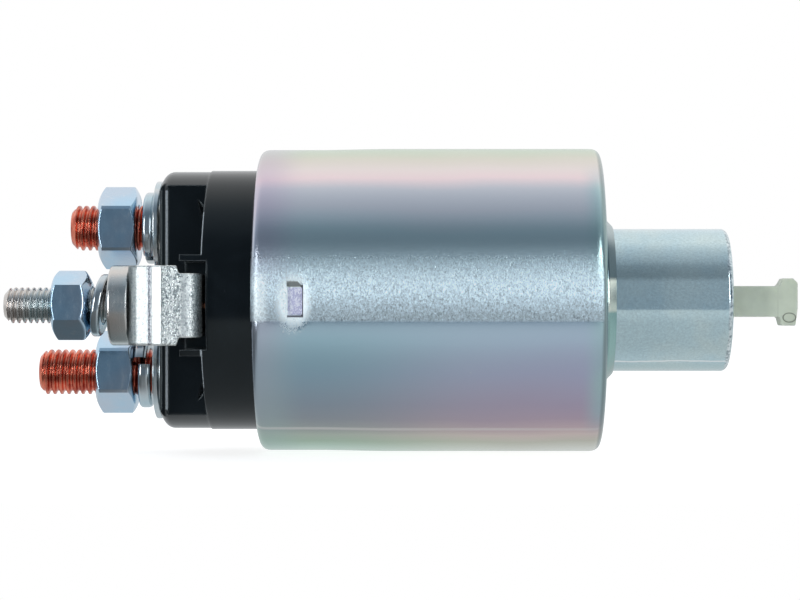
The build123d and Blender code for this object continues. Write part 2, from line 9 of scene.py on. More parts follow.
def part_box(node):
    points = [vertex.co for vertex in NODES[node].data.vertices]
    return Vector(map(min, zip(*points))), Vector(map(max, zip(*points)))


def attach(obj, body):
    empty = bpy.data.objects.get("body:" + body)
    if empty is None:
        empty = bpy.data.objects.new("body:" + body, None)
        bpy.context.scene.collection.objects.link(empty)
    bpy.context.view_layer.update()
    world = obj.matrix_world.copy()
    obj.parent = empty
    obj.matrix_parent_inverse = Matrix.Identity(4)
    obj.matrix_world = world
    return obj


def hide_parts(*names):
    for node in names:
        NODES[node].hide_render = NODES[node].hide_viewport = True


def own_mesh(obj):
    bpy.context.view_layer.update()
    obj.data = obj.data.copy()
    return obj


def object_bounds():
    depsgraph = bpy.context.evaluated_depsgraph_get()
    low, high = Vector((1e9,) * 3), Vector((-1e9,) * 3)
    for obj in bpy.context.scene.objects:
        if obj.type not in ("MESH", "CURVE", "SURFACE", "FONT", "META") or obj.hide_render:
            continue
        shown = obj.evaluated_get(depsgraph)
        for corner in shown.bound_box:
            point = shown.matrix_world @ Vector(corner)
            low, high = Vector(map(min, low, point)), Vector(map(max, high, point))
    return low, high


bl_info = {
    "name": "Starter Solenoid",
    "version": (1, 0, 0),
    "blender": (4, 5, 0),
    "location": "View3D > Sidebar > Solenoid",
    "description": "Dresses the packed starter solenoid with detailed pieces and finishes",
    "category": "Object",
}

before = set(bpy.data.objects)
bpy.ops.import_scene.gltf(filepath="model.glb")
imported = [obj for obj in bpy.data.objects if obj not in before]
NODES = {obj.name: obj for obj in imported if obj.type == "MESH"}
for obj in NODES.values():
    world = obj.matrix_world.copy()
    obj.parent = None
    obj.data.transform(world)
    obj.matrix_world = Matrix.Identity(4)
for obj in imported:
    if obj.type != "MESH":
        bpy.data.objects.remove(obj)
CAD_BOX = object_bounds()
MM = 0.001


def box_mm(node):
    """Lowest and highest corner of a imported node, in millimetres."""
    low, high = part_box(node)
    return low / MM, high / MM


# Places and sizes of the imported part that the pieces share, in millimetres and degrees
BATTERY_AXIS = (4.99, 12.8)
MOTOR_AXIS = (4.99, -12.8)
SIGNAL_AXIS = (-20.5, -0.9)
CAP_FACE = -76.1
M8_CREST, M8_ROOT = 4.0, 3.38
M6_CREST, M6_ROOT = 3.0, 2.45
CRIMP_RADIUS = box_mm("yoke_shell")[1].z - 0.2
FIXING_OFFSET = 19.0
STAKE_X = -51.75
STAKE_TURN = 0.4
STAKE_COUNT = 3
STAKE_ANGLES = [180 + STAKE_TURN + 360 / STAKE_COUNT * mark for mark in range(STAKE_COUNT)]
STRAP_THICKNESS = 1.2
STRAP_FRONT = -27.18
HOOK_MARK = (33.2, -3.08)


def smooth(low, high, value):
    """Soft step from 0 to 1 between two values."""
    t = min(max((value - low) / (high - low), 0), 1)
    return t * t * (3 - 2 * t)


# Sizes and colours that a user would change

def length(name, description, default):
    return FloatProperty(name=name, description=description, default=default * MM,
                         unit="LENGTH", precision=5)


def colour(name, description, default):
    return FloatVectorProperty(name=name, description=description, default=default,
                               subtype="COLOR", size=3, min=0, max=1)


def factor(name, description, default):
    return FloatProperty(name=name, description=description, default=default)


class StageSettings(bpy.types.PropertyGroup):
    camera_distance: length("Camera distance", "From the solenoid's axis to the camera", 405.0)
    camera_x: length("Camera place", "Along the solenoid's axis", -26.2)
    focal_length: factor("Focal length", "Lens in millimetres", 103.48)
    camera_shift: factor("Camera shift", "Sideways shift that frames the part", -0.0625)
    floor_size: length("Floor size", "Width and depth of the floor", 6000.0)
    floor_front: length("Floor front", "From the axis to the floor's front edge", 101.0)
    floor_drop: length("Floor gap", "From the shell down to the floor", 0.3)
    key_strength: factor("Key strength", "What the power of both lamps is multiplied by", 1.0)


class ShellSettings(bpy.types.PropertyGroup):
    tint_green: colour("Green tint", "Plating colour at the crown", (0.51, 0.61, 0.46))
    tint_pink: colour("Pink tint", "Plating colour beside the crown", (0.84, 0.69, 0.71))
    tint_violet: colour("Violet tint", "Plating colour of the shoulders", (0.64, 0.65, 0.70))
    tint_teal: colour("Teal tint", "Plating colour of the sides", (0.54, 0.68, 0.72))
    grain_depth: length("Grain depth", "Depth of the crystal grain on the front", 0.05)
    dent_depth: length("Dent depth", "Depth of the soft dent round each stake mark", 0.42)
    stake_depth: length("Stake depth", "Depth of the rectangular stake marks", 0.6)


class CapSettings(bpy.types.PropertyGroup):
    phenolic: colour("Phenolic", "Colour of the moulded cap", (0.0030, 0.0042, 0.0054))
    gloss: factor("Roughness", "Roughness of the cap's skin", 0.17)
    rubber: colour("Rubber", "Colour of the seals and gasket", (0.02, 0.02, 0.022))


class TerminalSettings(bpy.types.PropertyGroup):
    copper: colour("Copper", "Colour of the copper studs", (0.83, 0.25, 0.16))
    zinc: colour("Zinc", "Colour of the bright zinc plating", (0.53, 0.68, 0.80))
    m8_pitch: length("M8 pitch", "Pitch of the copper studs' thread", 1.25)
    m6_pitch: length("M6 pitch", "Pitch of the control stud's thread", 1.0)
    corner_round: length("Nut corner", "How far the large nuts' corners are rounded off", 0.19)
    thread_gap: length("Thread gap", "Between a nut's thread and the stud's", 0.04)


class StrapSettings(bpy.types.PropertyGroup):
    zinc: colour("Strap zinc", "Colour of the strap's plating", (0.90, 0.93, 0.91))
    crinkle: length("Crinkle", "Height of the strap's crinkled grain", 0.03)
    edge_round: length("Edge round", "Rounding of the strap's sheared edges", 0.28)


class PullSettings(bpy.types.PropertyGroup):
    plunger_zinc: colour("Plunger zinc", "Colour of the plunger's plating", (0.58, 0.72, 0.76))
    nylon: colour("Nylon", "Colour of the moulded hook", (0.68, 0.73, 0.60))
    hook_round: length("Hook round", "Rounding of the hook's edges", 0.22)
    mark_length: length("Ejector mark", "Length of the oval ejector-pin mark", 2.25)


class CoilSettings(bpy.types.PropertyGroup):
    bobbin: colour("Bobbin", "Colour of the moulded bobbin", (0.60, 0.57, 0.47))
    wire: colour("Enamel", "Colour of the enamelled wire", (0.50, 0.16, 0.06))
    pull_in_wire: length("Pull-in wire", "Diameter of the pull-in winding's wire", 1.12)
    hold_in_wire: length("Hold-in wire", "Diameter of the hold-in winding's wire", 0.7)
    spring_steel: colour("Spring steel", "Colour of the springs", (0.42, 0.43, 0.45))


# Shader maths

def maths_operator(operation, reflected=False):
    """Operator method that adds one Math node for a wire and another value."""
    def method(self, other):
        values = (other, self) if reflected else (self, other)
        return self.finish.maths(operation, *values)
    return method


class Wire:
    """A node socket that takes part in arithmetic. An expression adds its Math nodes."""

    def __init__(self, finish, socket):
        self.finish = finish
        self.socket = socket

    __add__, __radd__ = maths_operator("ADD"), maths_operator("ADD", reflected=True)
    __sub__, __rsub__ = maths_operator("SUBTRACT"), maths_operator("SUBTRACT", reflected=True)
    __mul__, __rmul__ = maths_operator("MULTIPLY"), maths_operator("MULTIPLY", reflected=True)
    __truediv__ = maths_operator("DIVIDE")
    __pow__ = maths_operator("POWER")
    larger = maths_operator("MAXIMUM")

    def __abs__(self):
        return self.finish.maths("ABSOLUTE", self)

    def step(self, low, high):
        """Soft step from 0 at low to 1 at high."""
        return self.finish.node("MapRange", {"interpolation_type": "SMOOTHSTEP"},
                                {"Value": self, "From Min": low, "From Max": high})

    def fall(self, low, high):
        """Soft step from 1 at low to 0 at high."""
        return 1 - self.step(low, high)

    def band(self, low, full, end, high):
        """1 from full to end, with soft steps beside it from low and to high."""
        return self.step(low, full) * self.fall(end, high)

    def line(self, middle, inner, outer):
        """1 as far as inner from the middle, falling to 0 at outer."""
        return abs(self - middle).fall(inner, outer)


def rgba(shade):
    """A colour with its alpha; a wire is taken as it is."""
    return shade if isinstance(shade, Wire) or len(shade) == 4 else (*shade, 1.0)


def toned(shade, *shares):
    """A colour times one share, or times a share for each of its parts."""
    shares = shares * (3 // len(shares))
    return tuple(min(1.0, part * share) for part, share in zip(shade, shares))


class Finish:
    """A material being made: one method adds any node, the others name what finishes share."""

    def __init__(self, owner):
        self.owner = bpy.data.materials.new(owner) if isinstance(owner, str) else owner
        self.owner.use_nodes = True
        self.tree = self.owner.node_tree
        self.tree.nodes.clear()

    def node(self, kind, settings=None, inputs=None, output=0):
        """Adds a node: its settings come first, then the values or links of its sockets."""
        made = self.tree.nodes.new("ShaderNode" + kind)
        for key, value in (settings or {}).items():
            if key == "stops":
                self.fill_ramp(made.color_ramp, value)
            else:
                setattr(made, key, value)
        for key, value in (inputs or {}).items():
            if isinstance(value, Wire):
                self.tree.links.new(value.socket, made.inputs[key])
            else:
                made.inputs[key].default_value = value
        return Wire(self, made.outputs[output]) if made.outputs else None

    def fill_ramp(self, ramp, stops):
        while len(ramp.elements) < len(stops):
            ramp.elements.new(0.5)
        for element, (place, shade) in zip(ramp.elements, stops):
            element.position = place
            element.color = rgba(shade)

    def maths(self, operation, *values):
        return self.node("Math", {"operation": operation}, dict(enumerate(values)))

    def place(self):
        """Position on the piece, in metres in the part's own frame."""
        return self.node("TexCoord", output="Object")

    def axes(self, point):
        return [self.node("SeparateXYZ", None, {0: point}, output=axis) for axis in range(3)]

    def scaled(self, point, scale):
        return self.node("VectorMath", {"operation": "MULTIPLY"}, {0: point, 1: scale})

    def noise(self, point, scale, detail=2.0, rough=0.5, warp=0.0):
        return self.node("TexNoise", None, {"Vector": point, "Scale": scale, "Detail": detail,
                                            "Roughness": rough, "Distortion": warp})

    def cells(self, point, scale, feature="F1"):
        return self.node("TexVoronoi", {"feature": feature}, {"Vector": point, "Scale": scale},
                         output="Distance")

    def ramp(self, value, *stops):
        """Colour over a value, from stops that each hold a place and a colour."""
        return self.node("ValToRGB", {"stops": stops}, {0: value})

    def mix(self, amount, first, second, blend="MIX"):
        return self.node("Mix", {"data_type": "RGBA", "blend_type": blend},
                         {0: amount, 6: rgba(first), 7: rgba(second)}, output=2)

    def layered(self, base, *layers):
        """The base colour with other colours laid over it in turn, each under its mask."""
        for mask, shade in layers:
            base = self.mix(mask, base, shade)
        return base

    def lit(self, level, tint=(1.0, 1.0, 1.0)):
        """A tint at a brightness that varies over the surface."""
        parts = {part: level * share for part, share in enumerate(tint)}
        return self.node("CombineXYZ", None, parts)

    def bump(self, height, depth, strength=1.0, under=None):
        """Normal of a relief with its depth in metres, over another normal where one is given."""
        inputs = {"Height": height, "Distance": depth, "Strength": strength}
        if under is not None:
            inputs["Normal"] = under
        return self.node("Bump", None, inputs)

    def principled(self, inputs):
        inputs = {key: rgba(value) if "Color" in key else value for key, value in inputs.items()}
        return self.close(self.node("BsdfPrincipled", None, inputs))

    def close(self, shader):
        self.node("OutputMaterial", None, {"Surface": shader})
        return self.owner

    def worn_edge(self, radius, samples=4):
        """Normal that rounds a piece's sharp edges by a radius in millimetres."""
        return self.node("Bevel", {"samples": samples}, {"Radius": radius * MM})

    def edge_mask(self, rounded_normal, low, high):
        """1 on a sharp edge, from how far its rounded normal turns away from the face's own."""
        face = self.node("NewGeometry", output="Normal")
        match = self.node("VectorMath", {"operation": "DOT_PRODUCT"},
                          {0: rounded_normal, 1: face}, output="Value")
        return (1 - match).step(low, high)


def around_axis(finish, point):
    """The three axes, and the height round X: 0 at the sides, 1 at the top, -1 at the bottom."""
    x, y, z = finish.axes(point)
    return x, y, z, z / (y * y + z * z) ** 0.5


# Finishes of the outside. Places and depths in them are in metres.

def shell_tint(finish, settings, point, x, z, height):
    """Iridescent tints that follow the height on the shell, drift along it and turn at its ends; a
    painted reflection line runs low down, and the right end's edge has painted shade.
    """
    drift = finish.noise(finish.scaled(point, (1.0, 1.4, 1.4)), 26.0)
    slow = finish.noise(point, 11.0, 1.0, 0.4)
    rise = height + (drift - 0.5) * 0.16 + (slow - 0.5) * 0.10
    top = finish.ramp(
        rise, (0.00, settings.tint_teal), (0.42, settings.tint_teal), (0.57, settings.tint_violet),
        (0.69, settings.tint_violet), (0.76, settings.tint_pink), (0.82, (0.79, 0.71, 0.69)),
        (0.90, (0.68, 0.66, 0.57)), (0.97, settings.tint_green))
    bottom = finish.ramp(
        0 - rise, (0.00, (0.48, 0.62, 0.72)), (0.25, (0.46, 0.60, 0.70)),
        (0.46, (0.45, 0.52, 0.64)), (0.66, (0.47, 0.45, 0.54)), (0.75, (0.52, 0.46, 0.52)),
        (0.82, (0.64, 0.56, 0.55)), (0.86, (0.74, 0.68, 0.60)), (0.91, (0.62, 0.67, 0.53)),
        (0.97, (0.76, 0.86, 0.72)))
    tint = finish.mix(z.step(-0.002, 0.002), bottom, top)
    low = z.fall(-0.012, 0.0)
    tint = finish.mix(x.step(-0.045, 0.0) * low, tint, (1.10, 0.98, 1.06), "MULTIPLY")
    tint = finish.mix(x.fall(-0.050, -0.020) * low * 0.8, tint, (0.64, 0.86, 0.84), "MULTIPLY")
    lip_end = finish.mix(slow.step(0.4, 0.6), (0.56, 0.46, 0.60), (0.40, 0.60, 0.56))
    drive_end = finish.mix(drift.step(0.40, 0.60), (0.44, 0.62, 0.66), (0.46, 0.76, 0.64))
    # Painted reflection: a thin pale line low down on the shell.
    low_reflection_line = height.line(-0.826, 0.004, 0.013) * (0.25 + drift.step(0.35, 0.65) * 0.3)
    drive_mask = x.step(-0.0046, -0.0008) * abs(z).fall(0.018, 0.024)
    return finish.layered(
        tint,
        (x.fall(-0.0575, -0.0500) * 0.5, lip_end),
        (low_reflection_line, (0.92, 0.88, 0.86)),
        (drive_mask * 0.75, drive_end),
        # Painted shade: the edge at the shell's right end darkened.
        (x.step(-0.0012, -0.0006) * 0.7, (0.22, 0.28, 0.28)))


def boss_painted_reflection(finish, z):
    """Colours of the rounded boss, a painted reflection: dark above, a painted highlight in the
    middle, teal below.
    """
    return finish.layered(
        (0.34, 0.54, 0.52),
        (z.step(-0.0024, -0.0016), (0.86, 0.92, 0.82)),
        (z.step(0.0030, 0.0040), (0.10, 0.15, 0.17)),
        (z.step(0.0085, 0.0125), (0.46, 0.54, 0.56)))


def stake_masks(finish, x, y, z, grain):
    """Masks of a stake mark: painted highlight round the dent, pressed floor, painted shade on the
    edges to the right and below, painted shade on the upper wall, painted highlight on the lip.
    """
    sector = math.radians(180 / STAKE_COUNT)
    angle = finish.maths("ARCTAN2", z, 0 - y) + math.radians(STAKE_TURN)
    along = (x - STAKE_X * MM) / MM
    up = finish.maths("WRAP", angle, sector, -sector) * CRIMP_RADIUS
    wide, tall = (along + 0.35) / 3.4, (up + 0.15) / 5.9
    oval = (wide * wide + tall * tall) ** 0.5 + (grain - 0.5) * 0.42
    pressed = (abs(along) / 1.2).larger(abs(up) / 2.42)
    # Painted shade on the pressed edge, on its right and lower sides only.
    right_or_below = along.step(0.7, 1.1).larger(up.fall(-2.6, -2.2))
    edge = pressed.band(0.93, 0.98, 1.08, 1.16) * right_or_below
    # Painted shade on the upper wall.
    wall = up.band(2.38, 2.5, 3.2, 3.5) * along.step(-1.5, -1.3)
    wall = wall * (along + (up - 2.38) * 1.05).fall(1.25, 1.5)
    # Painted highlight on the crimped lip beside the stake.
    lip = x.band(-0.0590, -0.0582, -0.0574, -0.0558) * up.line(0.5, 2.2, 5.2)
    # The first mask is a painted highlight round the dent.
    return oval.fall(0.50, 0.98), pressed.fall(0.93, 1.0), edge, wall, lip


def shell_finish(settings):
    """Iridescent zinc with a band of crystal grain on the front whose pale colour is a painted
    highlight, a painted reflection on the boss, and stake marks with painted highlights and painted
    shade.
    """
    finish = Finish("iridescent_zinc")
    point = finish.place()
    x, y, z, height = around_axis(finish, point)
    coarse = finish.noise(finish.scaled(point, (1.25, 1.0, 0.85)), 2700.0, 1.0, 0.6, 0.9)
    fine = finish.noise(point, 4200.0, 2.0, 0.6)
    grain = (coarse - 0.5) * 1.5 + (fine - 0.5) * 0.8 + 0.5
    # The band's pale colour is a painted highlight over its real crystal grain, on the front side
    # only.
    side = y.fall(-0.008, 0.004) * x.fall(-0.0012, -0.0003)
    above = z.step(-0.0038, -0.0032) * side
    band = above * z.fall(0.0008, 0.0106)
    dent_highlight, floor, edge, wall, lip = stake_masks(finish, x, y, z, grain)
    # Painted highlight: the dent's halo and the lit lip, laid in white.
    bloom = dent_highlight.larger(lip * 0.8)
    # The band is darker towards the bottom as painted shade.
    crystal_grain_and_highlight = (grain - 0.5) * 1.3 + (x.step(-0.045, 0.0) * 0.08 + 0.98)
    crystal_grain_and_highlight = crystal_grain_and_highlight * (0.50 + z.step(-0.0036, 0.0026) * 0.50)
    glow = (grain - 0.5) * 0.6 + 1.0
    # The boss's colours are a painted reflection, laid on its front side only.
    boss = x.step(0.0002, 0.0006) * y.fall(-0.012, -0.002)
    pressed = finish.mix(grain.step(0.40, 0.60), (0.56, 0.56, 0.76), (0.86, 0.86, 0.97))
    base = finish.layered(
        shell_tint(finish, settings, point, x, z, height),
        (band * 0.92, finish.lit(crystal_grain_and_highlight, (0.77, 0.92, 1.0))),
        (bloom, finish.lit(glow, (0.93, 1.02, 1.04))),
        (boss, boss_painted_reflection(finish, z)),
        (floor, pressed),
        # Painted shade on the stake's upper wall and on its edges to the right and below.
        (wall, (0.27, 0.29, 0.28)),
        (edge, (0.09, 0.09, 0.11)),
        (finish.cells(point, 260.0).fall(0.0, 0.045), (0.80, 0.84, 0.84)))
    matte = band.larger(bloom)
    relief = (grain - 0.5) * above * (1 - z.step(0.0035, 0.0115) * 0.93)
    normal = finish.bump(fine, 0.000004, 0.6)
    normal = finish.bump(relief, settings.grain_depth, 0.8, normal)
    return finish.principled({"Base Color": base, "Metallic": 0.96 - matte * 0.62,
                              "Roughness": 0.20 + matte * 0.24 + (fine - 0.5) * 0.08,
                              "Normal": normal})


def plunger_finish(settings):
    """Turned and plated plunger: fine mill grain, a painted reflection line along the front with a
    darker zone below it, a rim rubbed bare in spots.
    """
    finish = Finish("plunger_zinc_finish")
    point = finish.place()
    x, y, z = finish.axes(point)
    zinc = settings.plunger_zinc
    clouds = finish.noise(point, 95.0, 3.0, 0.55)
    grain = finish.noise(finish.scaled(point, (0.8, 1.0, 1.0)), 2900.0, 2.0, 0.7)
    wander = finish.noise(point, 140.0, 2.0, 0.6)
    chips = finish.noise(point, 1500.0, 3.0, 0.75)
    lines = finish.noise(finish.scaled(point, (0.05, 1.0, 1.0)), 3800.0, 2.0, 0.6)
    base = finish.mix(clouds.step(0.36, 0.66), toned(zinc, 0.94, 0.98, 1.0),
                      toned(zinc, 1.06, 1.03, 0.99))
    base = finish.mix(1.0, base, finish.lit((grain - 0.5) * 0.5 + 1), "MULTIPLY")
    # Painted reflection: a thin bright line along the front only.
    front_reflection_line = (z + (wander - 0.5) * 0.0007).line(-0.0106, 0.00006, 0.00018)
    rim = (x + (wander - 0.5) * 0.0008).step(0.0213, 0.0217)
    rim = rim * (y * y + z * z).step(0.000139, 0.000149)
    worn = finish.mix(chips.step(0.42, 0.58), (0.22, 0.27, 0.30), (0.86, 0.92, 0.94))
    base = finish.layered(
        base,
        (front_reflection_line * y.fall(-0.003, 0.0) * 0.8, (0.96, 1.0, 1.0)),
        (z.fall(-0.0114, -0.0107) * 0.5, (0.50, 0.66, 0.66)),
        (rim * 0.7, worn))
    normal = finish.bump(grain, 0.000004, 0.5, finish.worn_edge(0.12))
    normal = finish.bump(lines, 0.000003, 0.5, normal)
    normal = finish.bump(chips * rim, 0.00005, 0.7, normal)
    return finish.principled({"Base Color": base, "Metallic": 0.84,
                              "Roughness": 0.10 + (grain - 0.5) * 0.05, "Normal": normal})


def zinc_finish(name, tint, rough, grain, turned_lines=0.0):
    """Bright zinc: faint blue and pink clouds, fine pits, lighter where handling rubbed it."""
    finish = Finish(name)
    point = finish.place()
    clouds = finish.noise(point, 95.0, 3.0, 0.55)
    marks = finish.noise(finish.scaled(point, (1.0, 1.0, 0.35)), 900.0, 3.0, 0.7)
    fine = finish.noise(point, 3000.0, 3.0, 0.6)
    base = finish.mix(clouds.step(0.36, 0.66), toned(tint, 0.90, 1.0, 1.06),
                      toned(tint, 1.08, 0.98, 0.97))
    base = finish.mix(marks.step(0.60, 0.74) * 0.35, base, (0.82, 0.85, 0.86))
    normal = finish.bump(fine, 0.000006, grain)
    if turned_lines:
        lines = finish.noise(finish.scaled(point, (1.0, 0.02, 0.02)), 5200.0, 2.0, 0.6)
        normal = finish.bump(lines, 0.00001, turned_lines, normal)
    return finish.principled({"Base Color": base, "Metallic": 1.0,
                              "Roughness": rough + (marks - 0.5) * 0.16 + (fine - 0.5) * 0.06,
                              "Normal": normal})


def sheared_finish():
    """Washer zinc, with the straight side left dull and pale from the shear."""
    finish = Finish("washer_zinc")
    point = finish.place()
    x, y, z = finish.axes(point)
    sheared = y.fall(-0.00232, -0.00224) * z.step(0.004, 0.005) * x.step(-0.0773, -0.0772)
    clouds = finish.noise(point, 400.0, 3.0, 0.6)
    drag = finish.noise(finish.scaled(point, (1.0, 0.3, 0.3)), 2600.0, 3.0, 0.7)
    base = finish.mix(clouds.step(0.36, 0.66), (0.58, 0.66, 0.70), (0.68, 0.70, 0.70))
    torn = finish.mix(drag.step(0.35, 0.65), (0.62, 0.61, 0.54), (0.98, 0.96, 0.90))
    return finish.principled({"Base Color": finish.mix(sheared, base, torn),
                              "Metallic": 1 - sheared * 0.9,
                              "Roughness": 0.22 + (drag - 0.5) * 0.15 + sheared * 0.25,
                              "Normal": finish.bump(drag, 0.00002, 0.7)})


def crystal_finish(settings):
    """Crinkled zinc of the strap: bright crystals, dark creases, painted highlights on the smoothed
    bands by the bends and along a ridge, painted shade in the jog, at the left end and past the
    shoulder.
    """
    finish = Finish("crinkled_zinc")
    point = finish.place()
    x = finish.axes(point)[0]
    flakes = finish.noise(point, 2500.0, 3.0, 0.7, 0.8)
    crease = finish.cells(finish.scaled(point, (1.0, 1.0, 0.75)), 2200.0, "DISTANCE_TO_EDGE")
    clouds = finish.noise(point, 240.0)
    first = x.band(-0.0780, -0.0776, -0.0762, -0.0758)
    second = x.band(-0.0755, -0.0752, -0.0738, -0.0734)
    third = x.band(-0.0708, -0.0700, -0.0694, -0.0686) * 0.5
    jog_shade = x.band(-0.0761, -0.0759, -0.0755, -0.0752)
    ridge = (x + (clouds - 0.5) * 0.0007).line(-0.0719, 0.00005, 0.00022)
    end = x.fall(-0.0781, -0.0777)
    soft = first + second + third
    smoothed_band_highlight = soft * (0.62 + flakes.step(0.35, 0.60) * 0.38) * (1 - first * 0.25)
    base = finish.layered(
        (0.26, 0.31, 0.32),
        (flakes.step(0.34, 0.60), settings.zinc),
        (clouds.step(0.45, 0.7) * 0.3, (0.84, 0.87, 0.86)),
        # Painted light: shade past the shoulder, a highlight along the ridge, shade at the left
        # end, highlight on the smoothed bands, shade in the jog.
        (x.step(-0.0690, -0.0680) * 0.6, (0.30, 0.34, 0.33)),
        (ridge * 0.6, (0.95, 0.97, 0.96)),
        (end * 0.75, (0.16, 0.19, 0.20)),
        (smoothed_band_highlight, (0.95, 0.98, 0.96)),
        (jog_shade * 0.8, (0.46, 0.48, 0.53)))
    lean = first * (x + 0.0780) * 0.25 + second * (x + 0.0755) * 0.9
    bright = flakes * (1 - soft * 0.6) * (1 - end * 0.5)
    normal = finish.bump(lean, 0.26, 1.0, finish.worn_edge(0.12))
    normal = finish.bump(bright, 0.00009, 0.9, normal)
    normal = finish.bump(crease.step(0.0, 0.25) * (1 - smoothed_band_highlight), 0.00003, 0.6, normal)
    return finish.principled({"Base Color": base, "Metallic": 0.88 - smoothed_band_highlight * 0.30,
                              "Roughness": 0.26 + (flakes - 0.5) * 0.3 + smoothed_band_highlight * 0.12 + end * 0.2,
                              "Normal": normal})


def copper_finish(settings):
    """Bare rolled copper: orange, darker and browner where it has tarnished."""
    finish = Finish("bare_copper")
    point = finish.place()
    clouds = finish.noise(point, 420.0, 3.0, 0.6)
    marks = finish.noise(finish.scaled(point, (1.0, 0.5, 0.5)), 2600.0, 3.0, 0.65)
    base = finish.layered(
        toned(settings.copper, 0.58, 0.42, 0.42),
        (clouds.step(0.35, 0.62), settings.copper),
        (marks.step(0.58, 0.76) * 0.35, (0.95, 0.55, 0.45)))
    return finish.principled({"Base Color": base, "Metallic": 1.0,
                              "Roughness": 0.24 + (marks - 0.5) * 0.18,
                              "Normal": finish.bump(marks, 0.000012, 0.8)})


def phenolic_finish(settings):
    """Glossy moulded phenolic: near black, flow clouds, dust, painted highlights on the edges and
    along the front and step edge lines, a faint skin.
    """
    finish = Finish("black_phenolic")
    point = finish.place()
    x, y, z = finish.axes(point)
    flow = finish.noise(point, 60.0, 3.0, 0.55, 1.2)
    speck = finish.cells(point, 420.0)
    dust = finish.noise(point, 5200.0, 1.0, 0.5)
    soft = finish.worn_edge(0.6, 8)
    # Painted highlights: a lighter tone on the rounded edges, and lines along the front fillet and
    # the step edge.
    edge_highlight = finish.edge_mask(soft, 0.16, 0.28)
    front = x.line(-0.0748, 0.00014, 0.00034) * y.fall(-0.0100, -0.0090)
    front = front * abs(z).fall(0.0186, 0.0190)
    step = x.line(-0.0678, 0.00008, 0.00022) * abs(z).band(0.0074, 0.0078, 0.0146, 0.0150)
    lines = front * 0.9 + step * y.fall(-0.016, -0.014)
    base = finish.layered(
        settings.phenolic,
        (flow.step(0.40, 0.72), toned(settings.phenolic, 2.0)),
        (speck.fall(0.0, 0.035) * 0.5, (0.16, 0.17, 0.18)),
        (edge_highlight * 0.8, (0.20, 0.22, 0.23)),
        (lines * (0.45 + dust.step(0.30, 0.60) * 0.55), (0.50, 0.54, 0.57)))
    normal = finish.bump(flow, 0.00006, 0.25, soft)
    normal = finish.bump(dust, 0.0000025, 0.6, normal)
    roughness = settings.gloss + (flow - 0.5) * 0.10 + (dust - 0.5) * 0.05
    return finish.principled({"Base Color": base, "Roughness": roughness, "Normal": normal,
                              "Specular IOR Level": 0.34,
                              "Specular Tint": (0.82, 0.95, 1.0, 1.0)})


def nylon_finish(settings):
    """Natural nylon: milky and slightly green, light scattered inside, a satin skin, and painted
    shade towards the head.
    """
    finish = Finish("natural_nylon")
    point = finish.place()
    x, y, z = finish.axes(point)
    milk = finish.noise(point, 210.0, 3.0, 0.55)
    skin = finish.noise(point, 2600.0, 3.0, 0.6)
    wide, tall = (x - HOOK_MARK[0] * MM) / 0.00112, (z - HOOK_MARK[1] * MM) / 0.00080
    ring = ((wide * wide + tall * tall) ** 0.5).line(1.0, 0.05, 0.15)
    mark = ring * y.fall(-0.0022, -0.0018) * x.step(0.030, 0.031)
    seam = x.line(0.0312, 0.00003, 0.00012) * milk.step(0.45, 0.60)
    base = finish.mix(milk.step(0.36, 0.68), settings.nylon, toned(settings.nylon, 1.16))
    # Painted shade: darker towards the head.
    base = finish.mix(x.step(0.020, 0.034), base, (0.84, 0.84, 0.83), "MULTIPLY")
    base = finish.layered(base, (mark * 0.75, (0.14, 0.15, 0.12)),
                          (seam * 0.3, (0.30, 0.34, 0.22)))
    return finish.principled({"Base Color": base, "Roughness": 0.40 + (skin - 0.5) * 0.14,
                              "Normal": finish.bump(skin, 0.00002, 0.5),
                              "Subsurface Weight": 0.35, "Subsurface Radius": (1.0, 1.0, 0.8),
                              "Subsurface Scale": 0.0022, "IOR": 1.52})


# Finishes of the inside

def moulded_finish(name, tint, rough=0.45):
    """Satin moulded plastic with clouds and a faint grain."""
    finish = Finish(name)
    point = finish.place()
    clouds = finish.noise(point, 160.0, 3.0, 0.6)
    skin = finish.noise(point, 2400.0, 3.0, 0.6)
    base = finish.layered(toned(tint, 0.84), (clouds.step(0.35, 0.7), tint),
                          (skin.step(0.62, 0.72) * 0.2, toned(tint, 0.5)))
    return finish.principled({"Base Color": base, "Roughness": rough + (skin - 0.5) * 0.15,
                              "Normal": finish.bump(skin, 0.00002, 0.6)})


def rubber_finish(settings):
    """Matte moulded rubber with a dusty bloom."""
    finish = Finish("moulded_rubber")
    point = finish.place()
    bloom = finish.noise(point, 260.0, 4.0, 0.65)
    skin = finish.noise(point, 3600.0, 2.0, 0.6)
    base = finish.mix(bloom.step(0.45, 0.75), settings.rubber, (0.055, 0.055, 0.056))
    return finish.principled({"Base Color": base, "Roughness": 0.72 + (skin - 0.5) * 0.2,
                              "Normal": finish.bump(skin, 0.00003, 0.7),
                              "Specular IOR Level": 0.35})


def enamel_finish(settings):
    """Enamelled copper wire: clear brown enamel over copper, a little uneven."""
    finish = Finish("enamelled_wire")
    point = finish.place()
    clouds = finish.noise(point, 320.0, 3.0, 0.6)
    base = finish.mix(clouds.step(0.35, 0.7), toned(settings.wire, 0.6), settings.wire)
    return finish.principled({"Base Color": base, "Metallic": 0.7,
                              "Roughness": 0.28 + (clouds - 0.5) * 0.12,
                              "Coat Weight": 0.6, "Coat Roughness": 0.12,
                              "Normal": finish.bump(clouds, 0.00001, 0.4)})


